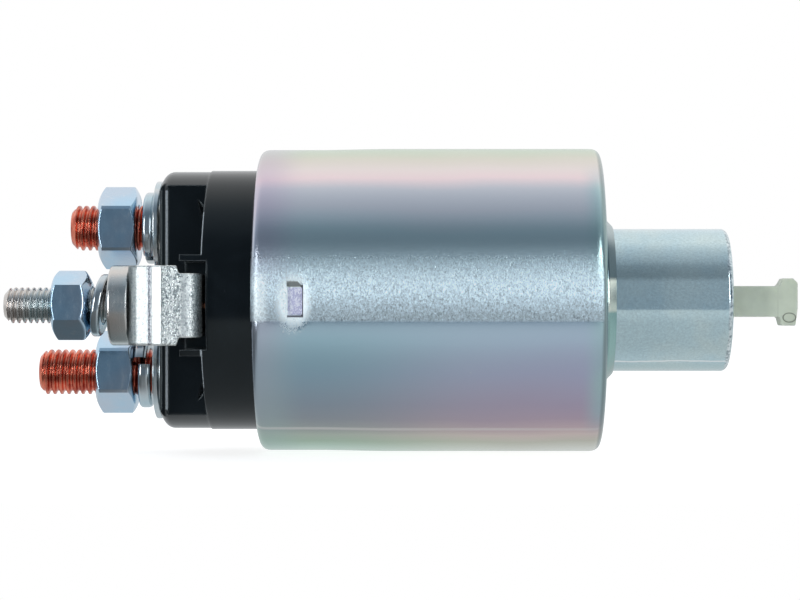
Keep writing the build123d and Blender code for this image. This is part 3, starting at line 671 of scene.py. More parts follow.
def wrap_finish():
    """Varnished wrap: a fine weave with resin between the threads."""
    finish = Finish("varnished_wrap")
    point = finish.place()
    x, _, _, height = around_axis(finish, point)
    weave = finish.maths("SINE", x * 9000.0) * finish.maths("SINE", height * 240.0) * 0.5 + 0.5
    clouds = finish.noise(point, 120.0, 3.0, 0.6)
    base = finish.layered((0.30, 0.22, 0.12), (weave, (0.55, 0.44, 0.27)),
                          (clouds.step(0.4, 0.75) * 0.5, (0.36, 0.24, 0.10)))
    return finish.principled({"Base Color": base, "Roughness": 0.5 + (clouds - 0.5) * 0.3,
                              "Normal": finish.bump(weave, 0.00005, 0.8)})


def turned_finish(name, tint, rough=0.32):
    """Turned steel or brass: fine lathe lines round the axis."""
    finish = Finish(name)
    point = finish.place()
    lines = finish.noise(finish.scaled(point, (1.0, 0.03, 0.03)), 4200.0, 3.0, 0.7)
    clouds = finish.noise(point, 140.0, 3.0, 0.6)
    base = finish.mix(clouds.step(0.35, 0.7), toned(tint, 0.82), tint)
    return finish.principled({"Base Color": base, "Metallic": 1.0,
                              "Roughness": rough + (lines - 0.5) * 0.2 + (clouds - 0.5) * 0.1,
                              "Normal": finish.bump(lines, 0.000008, 0.8)})


# Mesh work. A shape is a pair of points, in millimetres, and faces.

def dress(node, finish):
    """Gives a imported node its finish."""
    materials = NODES[node].data.materials
    materials.clear()
    materials.append(finish)


def mesh_object(name, verts, faces, scale=MM):
    """Linked object made from points and faces."""
    mesh = bpy.data.meshes.new(name)
    mesh.from_pydata([tuple(c * scale for c in v) for v in verts], [], faces)
    made = bpy.data.objects.new(name, mesh)
    bpy.context.scene.collection.objects.link(made)
    return made


def new_piece(node, shape, finish, body="housing", crease=32.0):
    """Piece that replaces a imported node, smooth-shaded with sharp edges above an angle."""
    piece = mesh_object(node + "_piece", *shape)
    piece.data.materials.append(finish)
    shade(piece, crease)
    return settle(piece, node, body)


def settle(piece, node, body):
    """The body that a finished piece rides on and the node it replaces."""
    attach(piece, body)
    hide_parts(node)
    return piece


def shade(piece, crease):
    """Outward normals, smooth faces, sharp edges where faces meet above the crease angle."""
    work = bmesh.new()
    work.from_mesh(piece.data)
    bmesh.ops.remove_doubles(work, verts=work.verts, dist=1e-8)
    bmesh.ops.recalc_face_normals(work, faces=work.faces)
    limit = math.radians(crease)
    for edge in work.edges:
        edge.smooth = len(edge.link_faces) == 2 and edge.calc_face_angle(0.0) < limit
    for face in work.faces:
        face.smooth = True
    work.to_mesh(piece.data)
    work.free()
    piece.data.update()


def apply_modifiers(piece):
    """Replaces a piece's mesh by what its modifiers make of it."""
    bpy.context.view_layer.update()
    seen = piece.evaluated_get(bpy.context.evaluated_depsgraph_get())
    made = bpy.data.meshes.new_from_object(seen)
    piece.modifiers.clear()
    piece.data = made


def cut(piece, cutter):
    """Takes a cutter's solid out of a piece."""
    modifier = piece.modifiers.new("cut", "BOOLEAN")
    modifier.operation = "DIFFERENCE"
    modifier.solver = "EXACT"
    modifier.object = cutter
    apply_modifiers(piece)
    bpy.data.objects.remove(cutter)


def rounded(corners, steps=5, margin=0.03):
    """Closed outline of corners; a corner's third number, where it has one, rounds it.

    A margin adds a point on each run beside a rounding, which keeps the run's shading flat.
    """
    made, half_run = [], 0.49
    for index, (x, r, *radius) in enumerate(corners):
        if not radius:
            made.append((x, r))
            continue
        here = Vector((x, r))
        neighbours = corners[index - 1], corners[(index + 1) % len(corners)]
        before, after = (Vector(corner[:2]) - here for corner in neighbours)
        limit = half_run * min(before.length, after.length)
        reach = min(radius[0] / math.tan(before.angle(after) / 2), limit)
        start = here + before.normalized() * reach
        end = here + after.normalized() * reach
        beside = reach + margin
        if margin and beside < before.length * half_run:
            made.append(tuple(here + before.normalized() * beside))
        for step in range(steps + 1):
            t = step / steps
            made.append(tuple((1 - t) ** 2 * start + 2 * t * (1 - t) * here + t * t * end))
        if margin and beside < after.length * half_run:
            made.append(tuple(here + after.normalized() * beside))
    return made


def ring_section(left, right, inner, outer, rounds, steps):
    """Rounded section of a ring; rounds go from its inner left corner to its outer left one."""
    corners = (left, inner), (right, inner), (right, outer), (left, outer)
    return rounded([(*corner, radius) for corner, radius in zip(corners, rounds)], steps)


def divided(outline, parts_of):
    """The closed outline with each run divided into as many parts as parts_of says."""
    made = []
    for index, point in enumerate(outline):
        after = outline[(index + 1) % len(outline)]
        parts = parts_of(point, after)
        for part in range(parts):
            t = part / parts
            made.append((point[0] + (after[0] - point[0]) * t,
                         point[1] + (after[1] - point[1]) * t))
    return made


def turned_faces(rows, columns, closed=True):
    """Quads between rows of points that go round an axis; an open run gets a face at each end."""
    faces = []
    for row in range(rows if closed else rows - 1):
        here, upper = row * columns, (row + 1) % rows * columns
        for column in range(columns):
            right = (column + 1) % columns
            faces.append((here + column, here + right, upper + right, upper + column))
    if not closed:
        faces.append(tuple(range(columns))[::-1])
        faces.append(tuple(range((rows - 1) * columns, rows * columns)))
    return faces


def round_angles(count):
    return [2 * math.pi * column / count for column in range(count)]


def turned_point(x, radius, angle, axis=(0.0, 0.0)):
    """Point about a line along X; the angle runs from +Y towards +Z."""
    return x, axis[0] + radius * math.cos(angle), axis[1] + radius * math.sin(angle)


def lathe(outline, axis=(0.0, 0.0), columns=128, radius_of=None, angles=None):
    """Shape of a closed (x, r) outline turned about a line along X.

    radius_of(x, r, angle) may change a point's radius.
    """
    if angles is None:
        angles = round_angles(columns)
    verts = [turned_point(x, radius_of(x, r, angle) if radius_of else r, angle, axis)
             for x, r in outline for angle in angles]
    return verts, turned_faces(len(outline), len(angles))


def joined(shapes):
    """Several shapes as one."""
    verts, faces = [], []
    for more, quads in shapes:
        faces += [tuple(index + len(verts) for index in quad) for quad in quads]
        verts += more
    return verts, faces


def thread_share(x, angle, pitch):
    """1 on a right-hand thread's crest, 0 in its root, with sloping flanks between."""
    turn = x / pitch + angle / (2 * math.pi)
    return 1 - smooth(0.10, 0.40, abs(turn % 1.0 - 0.5))


def threaded_stud(tip, end, crest, root, pitch, tail):
    """Closed outline and radius rule of a stud: a thread from its tip to end, then its tail."""
    rows_per_turn, tip_bevel = 14, 0.45
    chamfer = 0.9 * (crest - root) + tip_bevel
    rows = math.ceil((end - tip) / (pitch / rows_per_turn))
    outline = [(tip, 0.0), (tip, root - tip_bevel)]
    outline += [(tip + (end - tip) * row / rows, crest) for row in range(rows + 1)]

    def radius_of(x, r, angle):
        if r != crest or x > end - 1e-6:
            return r
        share = thread_share(x, angle, pitch) * smooth(end, end - pitch, x)
        taper = root - tip_bevel + (x - tip) / chamfer * (crest - root + tip_bevel)
        return min(root + (crest - root) * share, taper)

    return outline + tail, radius_of


def helix_tube(low, high, mean, wire, turns):
    """Shape of a compression spring with closed ends, standing between low and high along X."""
    sides, closed_turns, rows_per_turn = 14, 1.0, 40
    total = turns + 2 * closed_turns
    rows = math.ceil(total * rows_per_turn)
    closed_pitch = wire * 1.02
    open_length = (high - low) - wire - 2 * closed_turns * closed_pitch
    pitch = max(open_length / turns, closed_pitch)
    verts = []
    for row in range(rows + 1):
        turn = total * row / rows
        open_turns = min(max(turn - closed_turns, 0), turns)
        x = low + wire / 2 + (turn - open_turns) * closed_pitch + open_turns * pitch
        for around in round_angles(sides):
            place = min(max(x + wire / 2 * math.sin(around), low), high)
            radius = mean + wire / 2 * math.cos(around)
            verts.append(turned_point(place, radius, 2 * math.pi * turn))
    return verts, turned_faces(rows + 1, sides, closed=False)


def nut_shape(left, height, across, bore, turn, axis, thread, corner_round, gap, nose=0.95):
    """Hexagon nut with bevelled faces, countersinks and an inside thread that mates with its stud.

    thread is the pitch, crest and root of the stud's thread. nose is the share of the width
    across the flats that is left flat on the inner face.
    """
    columns, rows_per_turn, bevel_steps = 144, 12, 5
    sink, edge, face_bevel, face_step = 0.55, 0.16, 0.12, 0.04
    pitch, crest, root = thread
    apothem, right = across / 2, left + height
    corner_limit = across / math.sqrt(3) - corner_round
    slope = math.tan(math.radians(30))
    faces = {"left": 0.90 * apothem, "right": nose * apothem}
    rounds = {"left": edge, "right": edge if nose > 0.9 else 2.6 * edge}
    rows = math.ceil((height - 2 * sink) / (pitch / rows_per_turn))
    shares = [step / bevel_steps for step in range(bevel_steps + 1)] + [1.2]
    outline = [(left, bore + sink), (left, faces["left"] - face_bevel),
               (left + face_step, faces["left"])]
    outline += [(share, "left") for share in shares]
    outline += [(share, "right") for share in reversed(shares)]
    outline += [(right - face_step, faces["right"]), (right, faces["right"] - face_bevel),
                (right, bore + sink)]
    outline += [(right - sink - (height - 2 * sink) * row / rows, "bore")
                for row in range(rows + 1)]

    def bevelled(share, side, angle):
        """Distance from a face and radius, on the curve where the bevel meets the flats."""
        local = (angle - math.radians(turn) + math.pi / 6) % (math.pi / 3) - math.pi / 6
        hexagon = min(apothem / math.cos(local), corner_limit)
        height_of_bevel = hexagon - faces[side]
        round_off = min(rounds[side], height_of_bevel * 0.8)
        inner = min(share, 1)
        drop = (1 - inner) ** 2 * round_off
        inset = height_of_bevel * slope - drop * slope
        return inset + round_off * (inner ** 2 * 0.9 + max(share - 1, 0)), hexagon - drop

    verts = []
    for x, r in outline:
        for angle in (math.radians(turn) + angle for angle in round_angles(columns)):
            here, radius = x, r
            if r == "bore":
                radius = root + (crest - root) * thread_share(x, angle, pitch) + gap
            elif r in faces:
                inset, radius = bevelled(x, r, angle)
                here = left + inset if r == "left" else right - inset
            verts.append(turned_point(here, radius, angle, axis))
    return verts, turned_faces(len(outline), columns)


def split_washer_shape(start, end, width, inner, outer, slot_turn, axis, lean=(0.0, 0.0)):
    """Split spring washer: a section carried once round, its left face going from start to end."""
    columns, slot = 120, 1.1
    section = ring_section(0, width, inner, outer, (0.18, 0.18, width * 0.38, width * 0.34), 7)
    opening = slot / ((inner + outer) / 2)
    slopes = [math.tan(math.radians(degrees)) for degrees in lean]
    verts = []
    for row in range(columns + 1):
        share = row / columns
        angle = math.radians(slot_turn) + opening / 2 + (2 * math.pi - opening) * share
        for along, out in section:
            x, y, z = turned_point(start + (end - start) * share + along, out, angle)
            verts.append((x + slopes[0] * z + slopes[1] * y, axis[0] + y, axis[1] + z))
    return verts, turned_faces(columns + 1, len(section), closed=False)


# Operators, one for each piece or group of like pieces

class SOLENOID_OT_stage(bpy.types.Operator):
    """Camera, floor, backdrop, lamps and studio surroundings"""
    bl_idname = "solenoid.stage"
    bl_label = "Stage"

    def execute(self, context):
        settings = context.scene.solenoid_stage
        camera = bpy.data.cameras.new("camera")
        camera.lens = settings.focal_length
        camera.sensor_width = 36.0
        camera.shift_x = settings.camera_shift
        camera.clip_end = 50.0
        holder = bpy.data.objects.new("camera", camera)
        holder.location = (settings.camera_x, -settings.camera_distance, 0)
        holder.rotation_euler = (math.pi / 2, 0, 0)
        context.scene.collection.objects.link(holder)
        context.scene.camera = holder
        context.scene.view_settings.view_transform = "Standard"
        self.floor(settings)
        self.surroundings(context)
        self.lamps(context, settings)
        return {"FINISHED"}

    def floor(self, settings):
        """Floor that looks pale, keeps the shadow, and is toned for what mirrors it."""
        low = CAD_BOX[0][2] - settings.floor_drop
        half, front = settings.floor_size / 2, -settings.floor_front
        corners = [(-half, front, low), (half, front, low), (half, half, low), (-half, half, low)]
        floor = mesh_object("floor", corners, [(0, 1, 2, 3)], scale=1.0)
        finish = Finish("studio_floor")
        x, y, _ = finish.axes(finish.place())
        seen = finish.node("LightPath", output="Is Camera Ray")
        mirrored = finish.node("LightPath", output="Is Glossy Ray")
        paper = finish.node("BsdfDiffuse", None, {"Color": (0.8, 0.8, 0.8, 1)})
        shaded = finish.node("BsdfDiffuse", None, {"Color": (0.45, 0.45, 0.45, 1)})
        glow = finish.node("Emission", None, {"Color": (1, 1, 1, 1), "Strength": 0.82})
        pale = finish.node("AddShader", None, {0: shaded, 1: glow})
        shown = finish.node("MixShader", None, {0: seen, 1: paper, 2: pale})
        level = 0.70 - y.step(-0.070, -0.035) * 0.12 + y.step(-0.015, 0.0) * 0.12
        under_terminals = x.fall(-0.092, -0.066) * y.fall(-0.012, 0.002)
        level = level * (1 - under_terminals * 0.75)
        tone = finish.mix(level, (0.0, 0.0, 0.0), (0.94, 0.98, 1.0))
        reflected = finish.node("Emission", None, {"Color": tone, "Strength": 1.0})
        surface = finish.node("MixShader", None, {0: mirrored, 1: shown, 2: reflected})
        floor.data.materials.append(finish.close(surface))

    def surroundings(self, context):
        """World: white where the camera looks, and softboxes round a dark camera side."""
        world = bpy.data.worlds.new("studio")
        world.use_nodes = True
        context.scene.world = world
        finish = Finish(world)
        x, y, z = finish.axes(finish.node("TexCoord", output="Generated"))
        turn = finish.maths("ARCTAN2", z, 0 - y) / (2 * math.pi) + 0.5
        levels = ((-180, 0.80), (-30, 0.50), (-18, 0.25), (-10, 0.19), (30, 0.19), (44, 0.21),
                  (56, 0.27), (64, 0.42), (74, 0.55), (84, 0.66), (92, 0.78), (100, 0.90),
                  (107, 0.98), (150, 0.98), (180, 0.85))
        light = finish.ramp(turn, *(((degrees + 180) / 360, self.studio_tone(level))
                                    for degrees, level in levels))
        right = x.step(-0.06, 0.10) * z.fall(0.48, 0.62) * y.fall(-0.6, -0.4)
        ends = (x * x).step(0.30, 0.58) * y.step(0.0, 0.45)
        light = finish.layered(light, (right, self.studio_tone(0.38)),
                               (ends, self.studio_tone(0.90)))
        sky = finish.node("Background", None, {"Color": light, "Strength": 1.0})
        white = finish.node("Background", None, {"Color": (1, 1, 1, 1), "Strength": 1.0})
        seen = finish.node("LightPath", output="Is Camera Ray")
        shown = finish.node("MixShader", None, {0: seen, 1: sky, 2: white})
        finish.node("OutputWorld", None, {"Surface": shown})

    def studio_tone(self, level):
        """Colour of the surroundings at a brightness: bluer where they are darker."""
        return tuple(level * (cool + (1 - cool) * level) for cool in (0.62, 0.86, 1.10))

    def lamps(self, context, settings):
        middle = Vector((-0.03, 0, 0))
        for name, place, size, power in (
            ("left_strip", (-0.42, -0.52, 0.05), (0.11, 0.55), 1.5),
            ("right_strip", (0.36, -0.52, 0.20), (0.11, 0.50), 1.2),
        ):
            lamp = bpy.data.lights.new(name, "AREA")
            lamp.shape = "RECTANGLE"
            lamp.size, lamp.size_y = size
            lamp.energy = power * settings.key_strength
            lamp.color = (0.97, 0.99, 1.0)
            holder = bpy.data.objects.new(name, lamp)
            holder.location = place
            aim = middle - Vector(place)
            holder.rotation_euler = aim.to_track_quat("-Z", "Y").to_euler()
            holder.visible_camera = False
            context.scene.collection.objects.link(holder)


class SOLENOID_OT_shell(bpy.types.Operator):
    """Drawn steel cup with its rolled lip, stake marks, boss and threaded fixing holes"""
    bl_idname = "solenoid.shell"
    bl_label = "Yoke shell"

    def execute(self, context):
        settings = context.scene.solenoid_shell
        low, high = box_mm("yoke_shell")
        lip, outer = low.x, high.z
        end_wall, hole, bore, shoulder = 5.0, 13.2, 24.05, -56.7
        boss_bore, boss_radius, boss_top = 12.8, 14.4, 2.25
        lip_radius, lip_thickness = 22.8, 1.3
        outline = rounded([
            (-end_wall, hole), (0.3, hole), (0.3, boss_bore), (boss_top, boss_bore),
            (boss_top, boss_radius - 1.4, 0.12), (0.9, boss_radius, 0.6), (0.0, boss_radius, 0.5),
            (0.0, outer, 1.9), (lip + 21.2, outer, 3.0), (lip + 11.2, CRIMP_RADIUS, 3.0),
            (lip, CRIMP_RADIUS, 2.4), (lip, lip_radius, 0.5),
            (lip + lip_thickness, lip_radius, 0.2), (shoulder, bore), (-end_wall, bore),
        ], 6)
        outline = divided(divided(outline, self.parts_of_run), self.parts_at_stake)
        radius_of = self.radius_rule(settings.dent_depth / MM, settings.stake_depth / MM)
        shape = lathe(outline, radius_of=radius_of, angles=self.angles())
        shell = new_piece("yoke_shell", shape, shell_finish(settings), crease=28)
        for side in (-1, 1):
            cut(shell, self.tap(side * FIXING_OFFSET))
        shade(shell, 28)
        return {"FINISHED"}

    def radius_rule(self, dent, punch):
        """How the stake marks change the shell's radius: a soft dent and a pressed rectangle."""
        stakes = [math.radians(degrees) for degrees in STAKE_ANGLES]
        outside, reach_along, reach_round = 24.6, 6, 0.4

        def radius_of(x, r, angle):
            along = x - STAKE_X
            if r < outside or abs(along) > reach_along:
                return r
            for middle in stakes:
                turn = (angle - middle + math.pi) % (2 * math.pi) - math.pi
                if abs(turn) > reach_round:
                    continue
                across = turn * CRIMP_RADIUS
                oval = math.hypot(along / 3.1, across / 5.0)
                pressed = 1 - smooth(1.12, 1.28, abs(along))
                pressed *= (1 - smooth(2.3, 2.5, across)) * smooth(-3.35, -2.35, across)
                return r - dent * (1 - smooth(0.25, 1.05, oval)) - punch * pressed
            return r

        return radius_of

    def parts_of_run(self, point, after):
        """Parts that keep the faces along a run short."""
        return max(1, math.ceil(math.dist(point, after) / 1.8))

    def parts_at_stake(self, point, after):
        """More parts through the stake marks, on the outside only."""
        away = abs(point[0] - STAKE_X)
        if min(point[1], after[1]) <= 26 or away >= 6.5:
            return 1
        return 14 if away < 3.0 else 3

    def angles(self):
        """Columns round the shell: closer at a stake mark, closest at its pressed ends."""
        angles = []
        degree = 0.0
        while degree < 359.99:
            angles.append(math.radians(degree))
            near = min(abs((degree - stake + 180) % 360 - 180) for stake in STAKE_ANGLES)
            degree += 0.22 if 4.6 < near < 7.6 else 0.6 if near < 12 else 2.0
        return angles

    def tap(self, y):
        """Cutter with the thread of one fixing hole."""
        pitch, crest, root, inner, outer, rows = 1.0, 3.0, 2.5, -6.0, 1.0, 84
        outline = [(inner, 0.0)]
        outline += [(inner + (outer - inner) * row / rows, crest) for row in range(rows + 1)]
        outline.append((outer, 0.0))

        def radius_of(x, r, angle):
            return r if r == 0 else root + (crest - root) * thread_share(x, angle, pitch)

        tap = mesh_object("tap", *lathe(outline, (y, 0.0), 40, radius_of))
        shade(tap, 40)
        return tap


class SOLENOID_OT_cap(bpy.types.Operator):
    """Moulded terminal cap, its gasket and the studs' sealing rings"""
    bl_idname = "solenoid.cap"
    bl_label = "Terminal cap"

    def execute(self, context):
        settings = context.scene.solenoid_cap
        dress("terminal_cap", phenolic_finish(settings))
        rubber = rubber_finish(settings)
        for node in ("cap_gasket", "stud_seals"):
            dress(node, rubber)
        return {"FINISHED"}


class SOLENOID_OT_copper_studs(bpy.types.Operator):
    """Battery and motor studs with rolled threads and their contact heads"""
    bl_idname = "solenoid.copper_studs"
    bl_label = "Copper studs"

    def execute(self, context):
        settings = context.scene.solenoid_terminals
        finish = copper_finish(settings)
        pitch = settings.m8_pitch / MM
        shank, head = 4.3, 6.0
        for node, axis in (("battery_stud", BATTERY_AXIS), ("motor_stud", MOTOR_AXIS)):
            low, high = box_mm(node)
            head_back = high.x - 5.0
            tail = rounded([
                (CAP_FACE - 0.2, 3.75), (CAP_FACE, shank), (head_back, shank),
                (head_back, head, 0.3), (high.x, head, 0.5), (high.x, 0.0),
            ], 4)
            outline, radius_of = threaded_stud(low.x, CAP_FACE - 0.4, M8_CREST, M8_ROOT,
                                               pitch, tail)
            new_piece(node, lathe(outline, axis, 72, radius_of), finish, crease=50)
        return {"FINISHED"}


class SOLENOID_OT_nuts(bpy.types.Operator):
    """Hexagon nuts of the three terminals"""
    bl_idname = "solenoid.nuts"
    bl_label = "Nuts"

    def execute(self, context):
        settings = context.scene.solenoid_terminals
        finish = zinc_finish("bright_zinc_nuts", settings.zinc, rough=0.17, grain=0.4)
        m8 = settings.m8_pitch / MM, M8_CREST, M8_ROOT
        m6 = settings.m6_pitch / MM, M6_CREST, M6_ROOT
        corner, gap = settings.corner_round / MM, settings.thread_gap / MM
        large = [nut_shape(left, 6.7, 13.0, 3.65, turn, axis, m8, corner, gap)
                 for left, turn, axis in ((-88.3, 1.7, BATTERY_AXIS), (-88.7, -4.3, MOTOR_AXIS))]
        new_piece("terminal_nuts", joined(large), finish, crease=20)
        small = nut_shape(-92.35, 6.4, 10.2, 2.7, -5.7, SIGNAL_AXIS, m6, 0.05, gap, nose=0.74)
        new_piece("signal_nut", small, finish, crease=20)
        return {"FINISHED"}


class SOLENOID_OT_washers(bpy.types.Operator):
    """Plain and split spring washers of the three terminals"""
    bl_idname = "solenoid.washers"
    bl_label = "Washers"
    plain_radius = 8.3
    inner_plain, outer_plain = -77.2, -78.3

    def execute(self, context):
        finish = zinc_finish("bright_zinc_washers", (0.55, 0.64, 0.67), rough=0.17, grain=0.8)
        plain = []
        for axis in (BATTERY_AXIS, MOTOR_AXIS):
            for left in (self.inner_plain, self.outer_plain):
                outline = ring_section(left, left + 1.06, 4.25, self.plain_radius,
                                       (0.1, 0.1, 0.34, 0.30), 6)
                sheared = axis == BATTERY_AXIS and left == self.inner_plain
                plain.append(lathe(outline, axis, 144, self.sheared_radius if sheared else None))
        new_piece("plain_washers", joined(plain), sheared_finish())
        split = [split_washer_shape(start, end, width, 4.2, 6.35, turn, axis)
                 for start, end, width, turn, axis in (
                     (-80.2, -80.4, 1.88, -120.0, BATTERY_AXIS),
                     (-81.1, -81.95, 2.3, 160.0, MOTOR_AXIS))]
        new_piece("spring_washers", joined(split), finish)
        low, high = box_mm("signal_spring_washer")
        middle = (low.x + high.x) / 2
        small = split_washer_shape(middle - 0.72, middle - 0.82, 1.5, 3.3, 5.2, -30.0,
                                   SIGNAL_AXIS, lean=(8.4, 3.0))
        new_piece("signal_spring_washer", small, finish)
        return {"FINISHED"}

    def sheared_radius(self, x, r, angle):
        """Radius of the washer whose side towards the control terminal is cut straight."""
        away = -math.cos(angle)
        if away <= 0.3 or r <= 7:
            return r
        return min(r, 7.35 * r / self.plain_radius / away)


class SOLENOID_OT_control_stud(bpy.types.Operator):
    """Control terminal stud with its collar and the clinched tail"""
    bl_idname = "solenoid.control_stud"
    bl_label = "Control stud"

    def execute(self, context):
        settings = context.scene.solenoid_terminals
        finish = zinc_finish("bright_zinc_stud", (0.64, 0.65, 0.62), rough=0.25, grain=0.6,
                             turned_lines=0.8)
        low, high = box_mm("signal_stud")
        collar, plate, core, collar_radius = -82.8, -79.4, 2.7, 6.69
        plate_back = plate + STRAP_THICKNESS
        tail = rounded([
            (collar - 0.1, core), (collar, 2.9), (collar, collar_radius, 0.55),
            (plate, collar_radius, 0.35), (plate, core), (plate_back, core), (plate_back, 3.6),
            (high.x, 3.0), (high.x, 0.0),
        ])
        outline, radius_of = threaded_stud(low.x, collar - 0.3, M6_CREST, M6_ROOT,
                                           settings.m6_pitch / MM, tail)
        shape = lathe(outline, SIGNAL_AXIS, 96, radius_of)
        new_piece("signal_stud", shape, finish, crease=50)
        return {"FINISHED"}


class SOLENOID_OT_strap(bpy.types.Operator):
    """Bent and crinkled strap that carries the control stud"""
    bl_idname = "solenoid.strap"
    bl_label = "Signal strap"
    broad, narrow = 6.6, 5.3
    steps_across = 72

    def execute(self, context):
        settings = context.scene.solenoid_strap
        low, high = box_mm("signal_strap")
        shape = self.sweep(self.path(low, high), settings, (low.z + high.z) / 2)
        new_piece("signal_strap", shape, crystal_finish(settings), crease=60)
        return {"FINISHED"}

    def path(self, low, high):
        """Middle line of the strap in the XY plane, closely spaced, with the bends rounded."""
        half, spacing = STRAP_THICKNESS / 2, 0.16
        plate, face, leg = low.x + half, low.y + half, high.x - half
        bends = rounded([
            (plate, high.y - 1.5), (plate, face + 0.7, 1.0), (-76.0, face + 0.5, 0.5),
            (-75.2, face, 0.8), (leg, face, 2.3), (leg, high.y),
        ], 12, margin=0)
        spaced = [Vector(bends[0])]
        for point in bends[1:]:
            start, point = spaced[-1], Vector(point)
            count = max(1, math.ceil((point - start).length / spacing))
            spaced += [start.lerp(point, step / count) for step in range(1, count + 1)]
        return spaced

    def sweep(self, path, settings, middle):
        """Rounded rectangular section along the path, crinkled on its broad faces."""
        crinkle, edge_round = settings.crinkle / MM, settings.edge_round / MM
        verts = []
        for index, point in enumerate(path):
            before, after = path[max(index - 1, 0)], path[min(index + 1, len(path) - 1)]
            along = (after - before).normalized()
            side = Vector((along.y, -along.x))
            width = self.half_width(point)
            polished = smooth(-79.2, -78.6, point.x) * (1 - smooth(-75.2, -74.6, point.x))
            height = crinkle * (1 - 0.8 * polished)
            for z, out in self.section(width, edge_round):
                place = point + side * out
                spot = Vector((place.x * 1.9, place.y * 1.9, z * 1.6))
                rough = noise.fractal(spot, 0.6, 2.0, 3) * height
                edge = smooth(0.0, 0.5, width - abs(z))
                place += side * rough * (1 if out > 0 else -1) * edge
                verts.append((place.x, max(place.y, STRAP_FRONT), middle + z))
        return verts, turned_faces(len(path), len(verts) // len(path), closed=False)

    def half_width(self, point):
        """Half the strap's width: broad over the run, narrow from the shoulders on."""
        if point.y > -24.5 and point.x > -72:
            return self.narrow
        return self.broad - (self.broad - self.narrow) * smooth(-71.35, -70.75, point.x)

    def section(self, width, edge_round):
        """Points of the strap's section: one broad face, then the other."""
        points = []
        half = STRAP_THICKNESS / 2 - 0.02
        for start, end, out in ((-1, 1, half), (1, -1, -half)):
            for step in range(self.steps_across + 1):
                z = (start + (end - start) * step / self.steps_across) * width
                inside = max(edge_round - (width - abs(z)), 0)
                drop = edge_round - math.sqrt(max(edge_round ** 2 - inside ** 2, 0))
                points.append((z, out - math.copysign(drop, out)))
        return points


class SOLENOID_OT_plunger(bpy.types.Operator):
    """Ground and plated plunger, and the rings that hold the hook's spring"""
    bl_idname = "solenoid.plunger"
    bl_label = "Plunger"

    def execute(self, context):
        dress("plunger", plunger_finish(context.scene.solenoid_pull))
        dress("hook_retainer", turned_finish("retainer_steel", (0.5, 0.51, 0.52)))
        dress("hook_spring_seat", turned_finish("seat_steel", (0.5, 0.51, 0.52)))
        return {"FINISHED"}


class SOLENOID_OT_hook(bpy.types.Operator):
    """Moulded nylon hook with its T-shaped head"""
    bl_idname = "solenoid.hook"
    bl_label = "Pull hook"

    def execute(self, context):
        settings = context.scene.solenoid_pull
        hook = mesh_object("pull_hook_piece", *self.blank())
        shade(hook, 34)
        hook.data.materials.append(nylon_finish(settings))
        bevel = hook.modifiers.new("round", "BEVEL")
        bevel.width = settings.hook_round
        bevel.segments = 4
        bevel.limit_method = "ANGLE"
        bevel.angle_limit = math.radians(30)
        apply_modifiers(hook)
        cut(hook, self.ejector_mark(settings))
        self.add_inner_end(hook)
        shade(hook, 34)
        hook.modifiers.new("flats", "WEIGHTED_NORMAL").keep_sharp = True
        apply_modifiers(hook)
        settle(hook, "pull_hook", "hook")
        return {"FINISHED"}

    def blank(self):
        """Shank and head as a flat outline in the XZ plane with a thickness along Y."""
        half = 2.5
        outline = [
            (-3.4, -2.95), (-3.4, 2.45), (31.15, 2.45), (31.45, 2.6), (32.2, 3.8), (33.9, 3.8),
            (34.7, 3.0), (34.7, -1.5), (34.3, -4.5), (31.8, -4.5), (31.45, -3.1), (31.15, -2.95),
        ]
        count = len(outline)
        verts = [(x, y, z) for y in (-half, half) for x, z in outline]
        faces = [tuple(range(count)), tuple(range(count, 2 * count))[::-1]]
        for index in range(count):
            after = (index + 1) % count
            faces.append((after, index, index + count, after + count))
        return verts, faces

    def ejector_mark(self, settings):
        """Oval cutter that leaves the sunk mark of an ejector pin on the head."""
        half_length = settings.mark_length / MM / 2
        half_height = half_length * 0.71
        sides = ((-0.10, -2.9), (0.0, -2.9), (0.0, -2.40), (-0.10, -2.40))
        columns = 48
        verts = [(HOOK_MARK[0] + (half_length + inset) * math.cos(angle), y,
                  HOOK_MARK[1] + (half_height + inset) * math.sin(angle))
                 for inset, y in sides for angle in round_angles(columns)]
        cutter = mesh_object("ejector_mark", verts, turned_faces(len(sides), columns))
        shade(cutter, 30)
        return cutter

    def add_inner_end(self, hook):
        """Round end that carries the spring's seat."""
        back, front, radius = -5.7, -3.3, 4.97
        outline = rounded([(back, 0.0), (back, radius, 0.4), (front, radius, 0.3), (front, 0.0)], 4)
        verts, faces = lathe(outline, columns=72)
        work = bmesh.new()
        work.from_mesh(hook.data)
        made = [work.verts.new(tuple(c * MM for c in v)) for v in verts]
        for face in faces:
            corners = {}
            for index in face:
                corners.setdefault(tuple(made[index].co), made[index])
            if len(corners) > 2:
                work.faces.new(list(corners.values()))
        work.to_mesh(hook.data)
        work.free()


class SOLENOID_OT_springs(bpy.types.Operator):
    """The four springs, each wound between the ends of the node it replaces"""
    bl_idname = "solenoid.springs"
    bl_label = "Springs"

    def execute(self, context):
        tint = context.scene.solenoid_coil.spring_steel
        finish = turned_finish("spring_steel_finish", tint, rough=0.3)
        for node, wire, turns, body, joint, anchor, travel in (
            ("plunger_return_spring", 1.4, 5.5, "housing", "plunger_slide", "low", 10.0),
            ("hook_spring", 1.6, 5.0, "plunger", "hook_slide", "high", 8.0),
            ("contact_return_spring", 0.7, 3.0, "housing", "contact_rod_slide", "low", 3.0),
            ("contact_spring", 0.9, 1.4, "contact_rod", "contact_disc_slide", "high", 0.8),
        ):
            low, high = box_mm(node)
            mean = (high.z - low.z) / 2 - wire / 2
            shape = helix_tube(low.x, high.x, mean, wire, turns)
            spring = new_piece(node, shape, finish, body)
            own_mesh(spring)
        return {"FINISHED"}


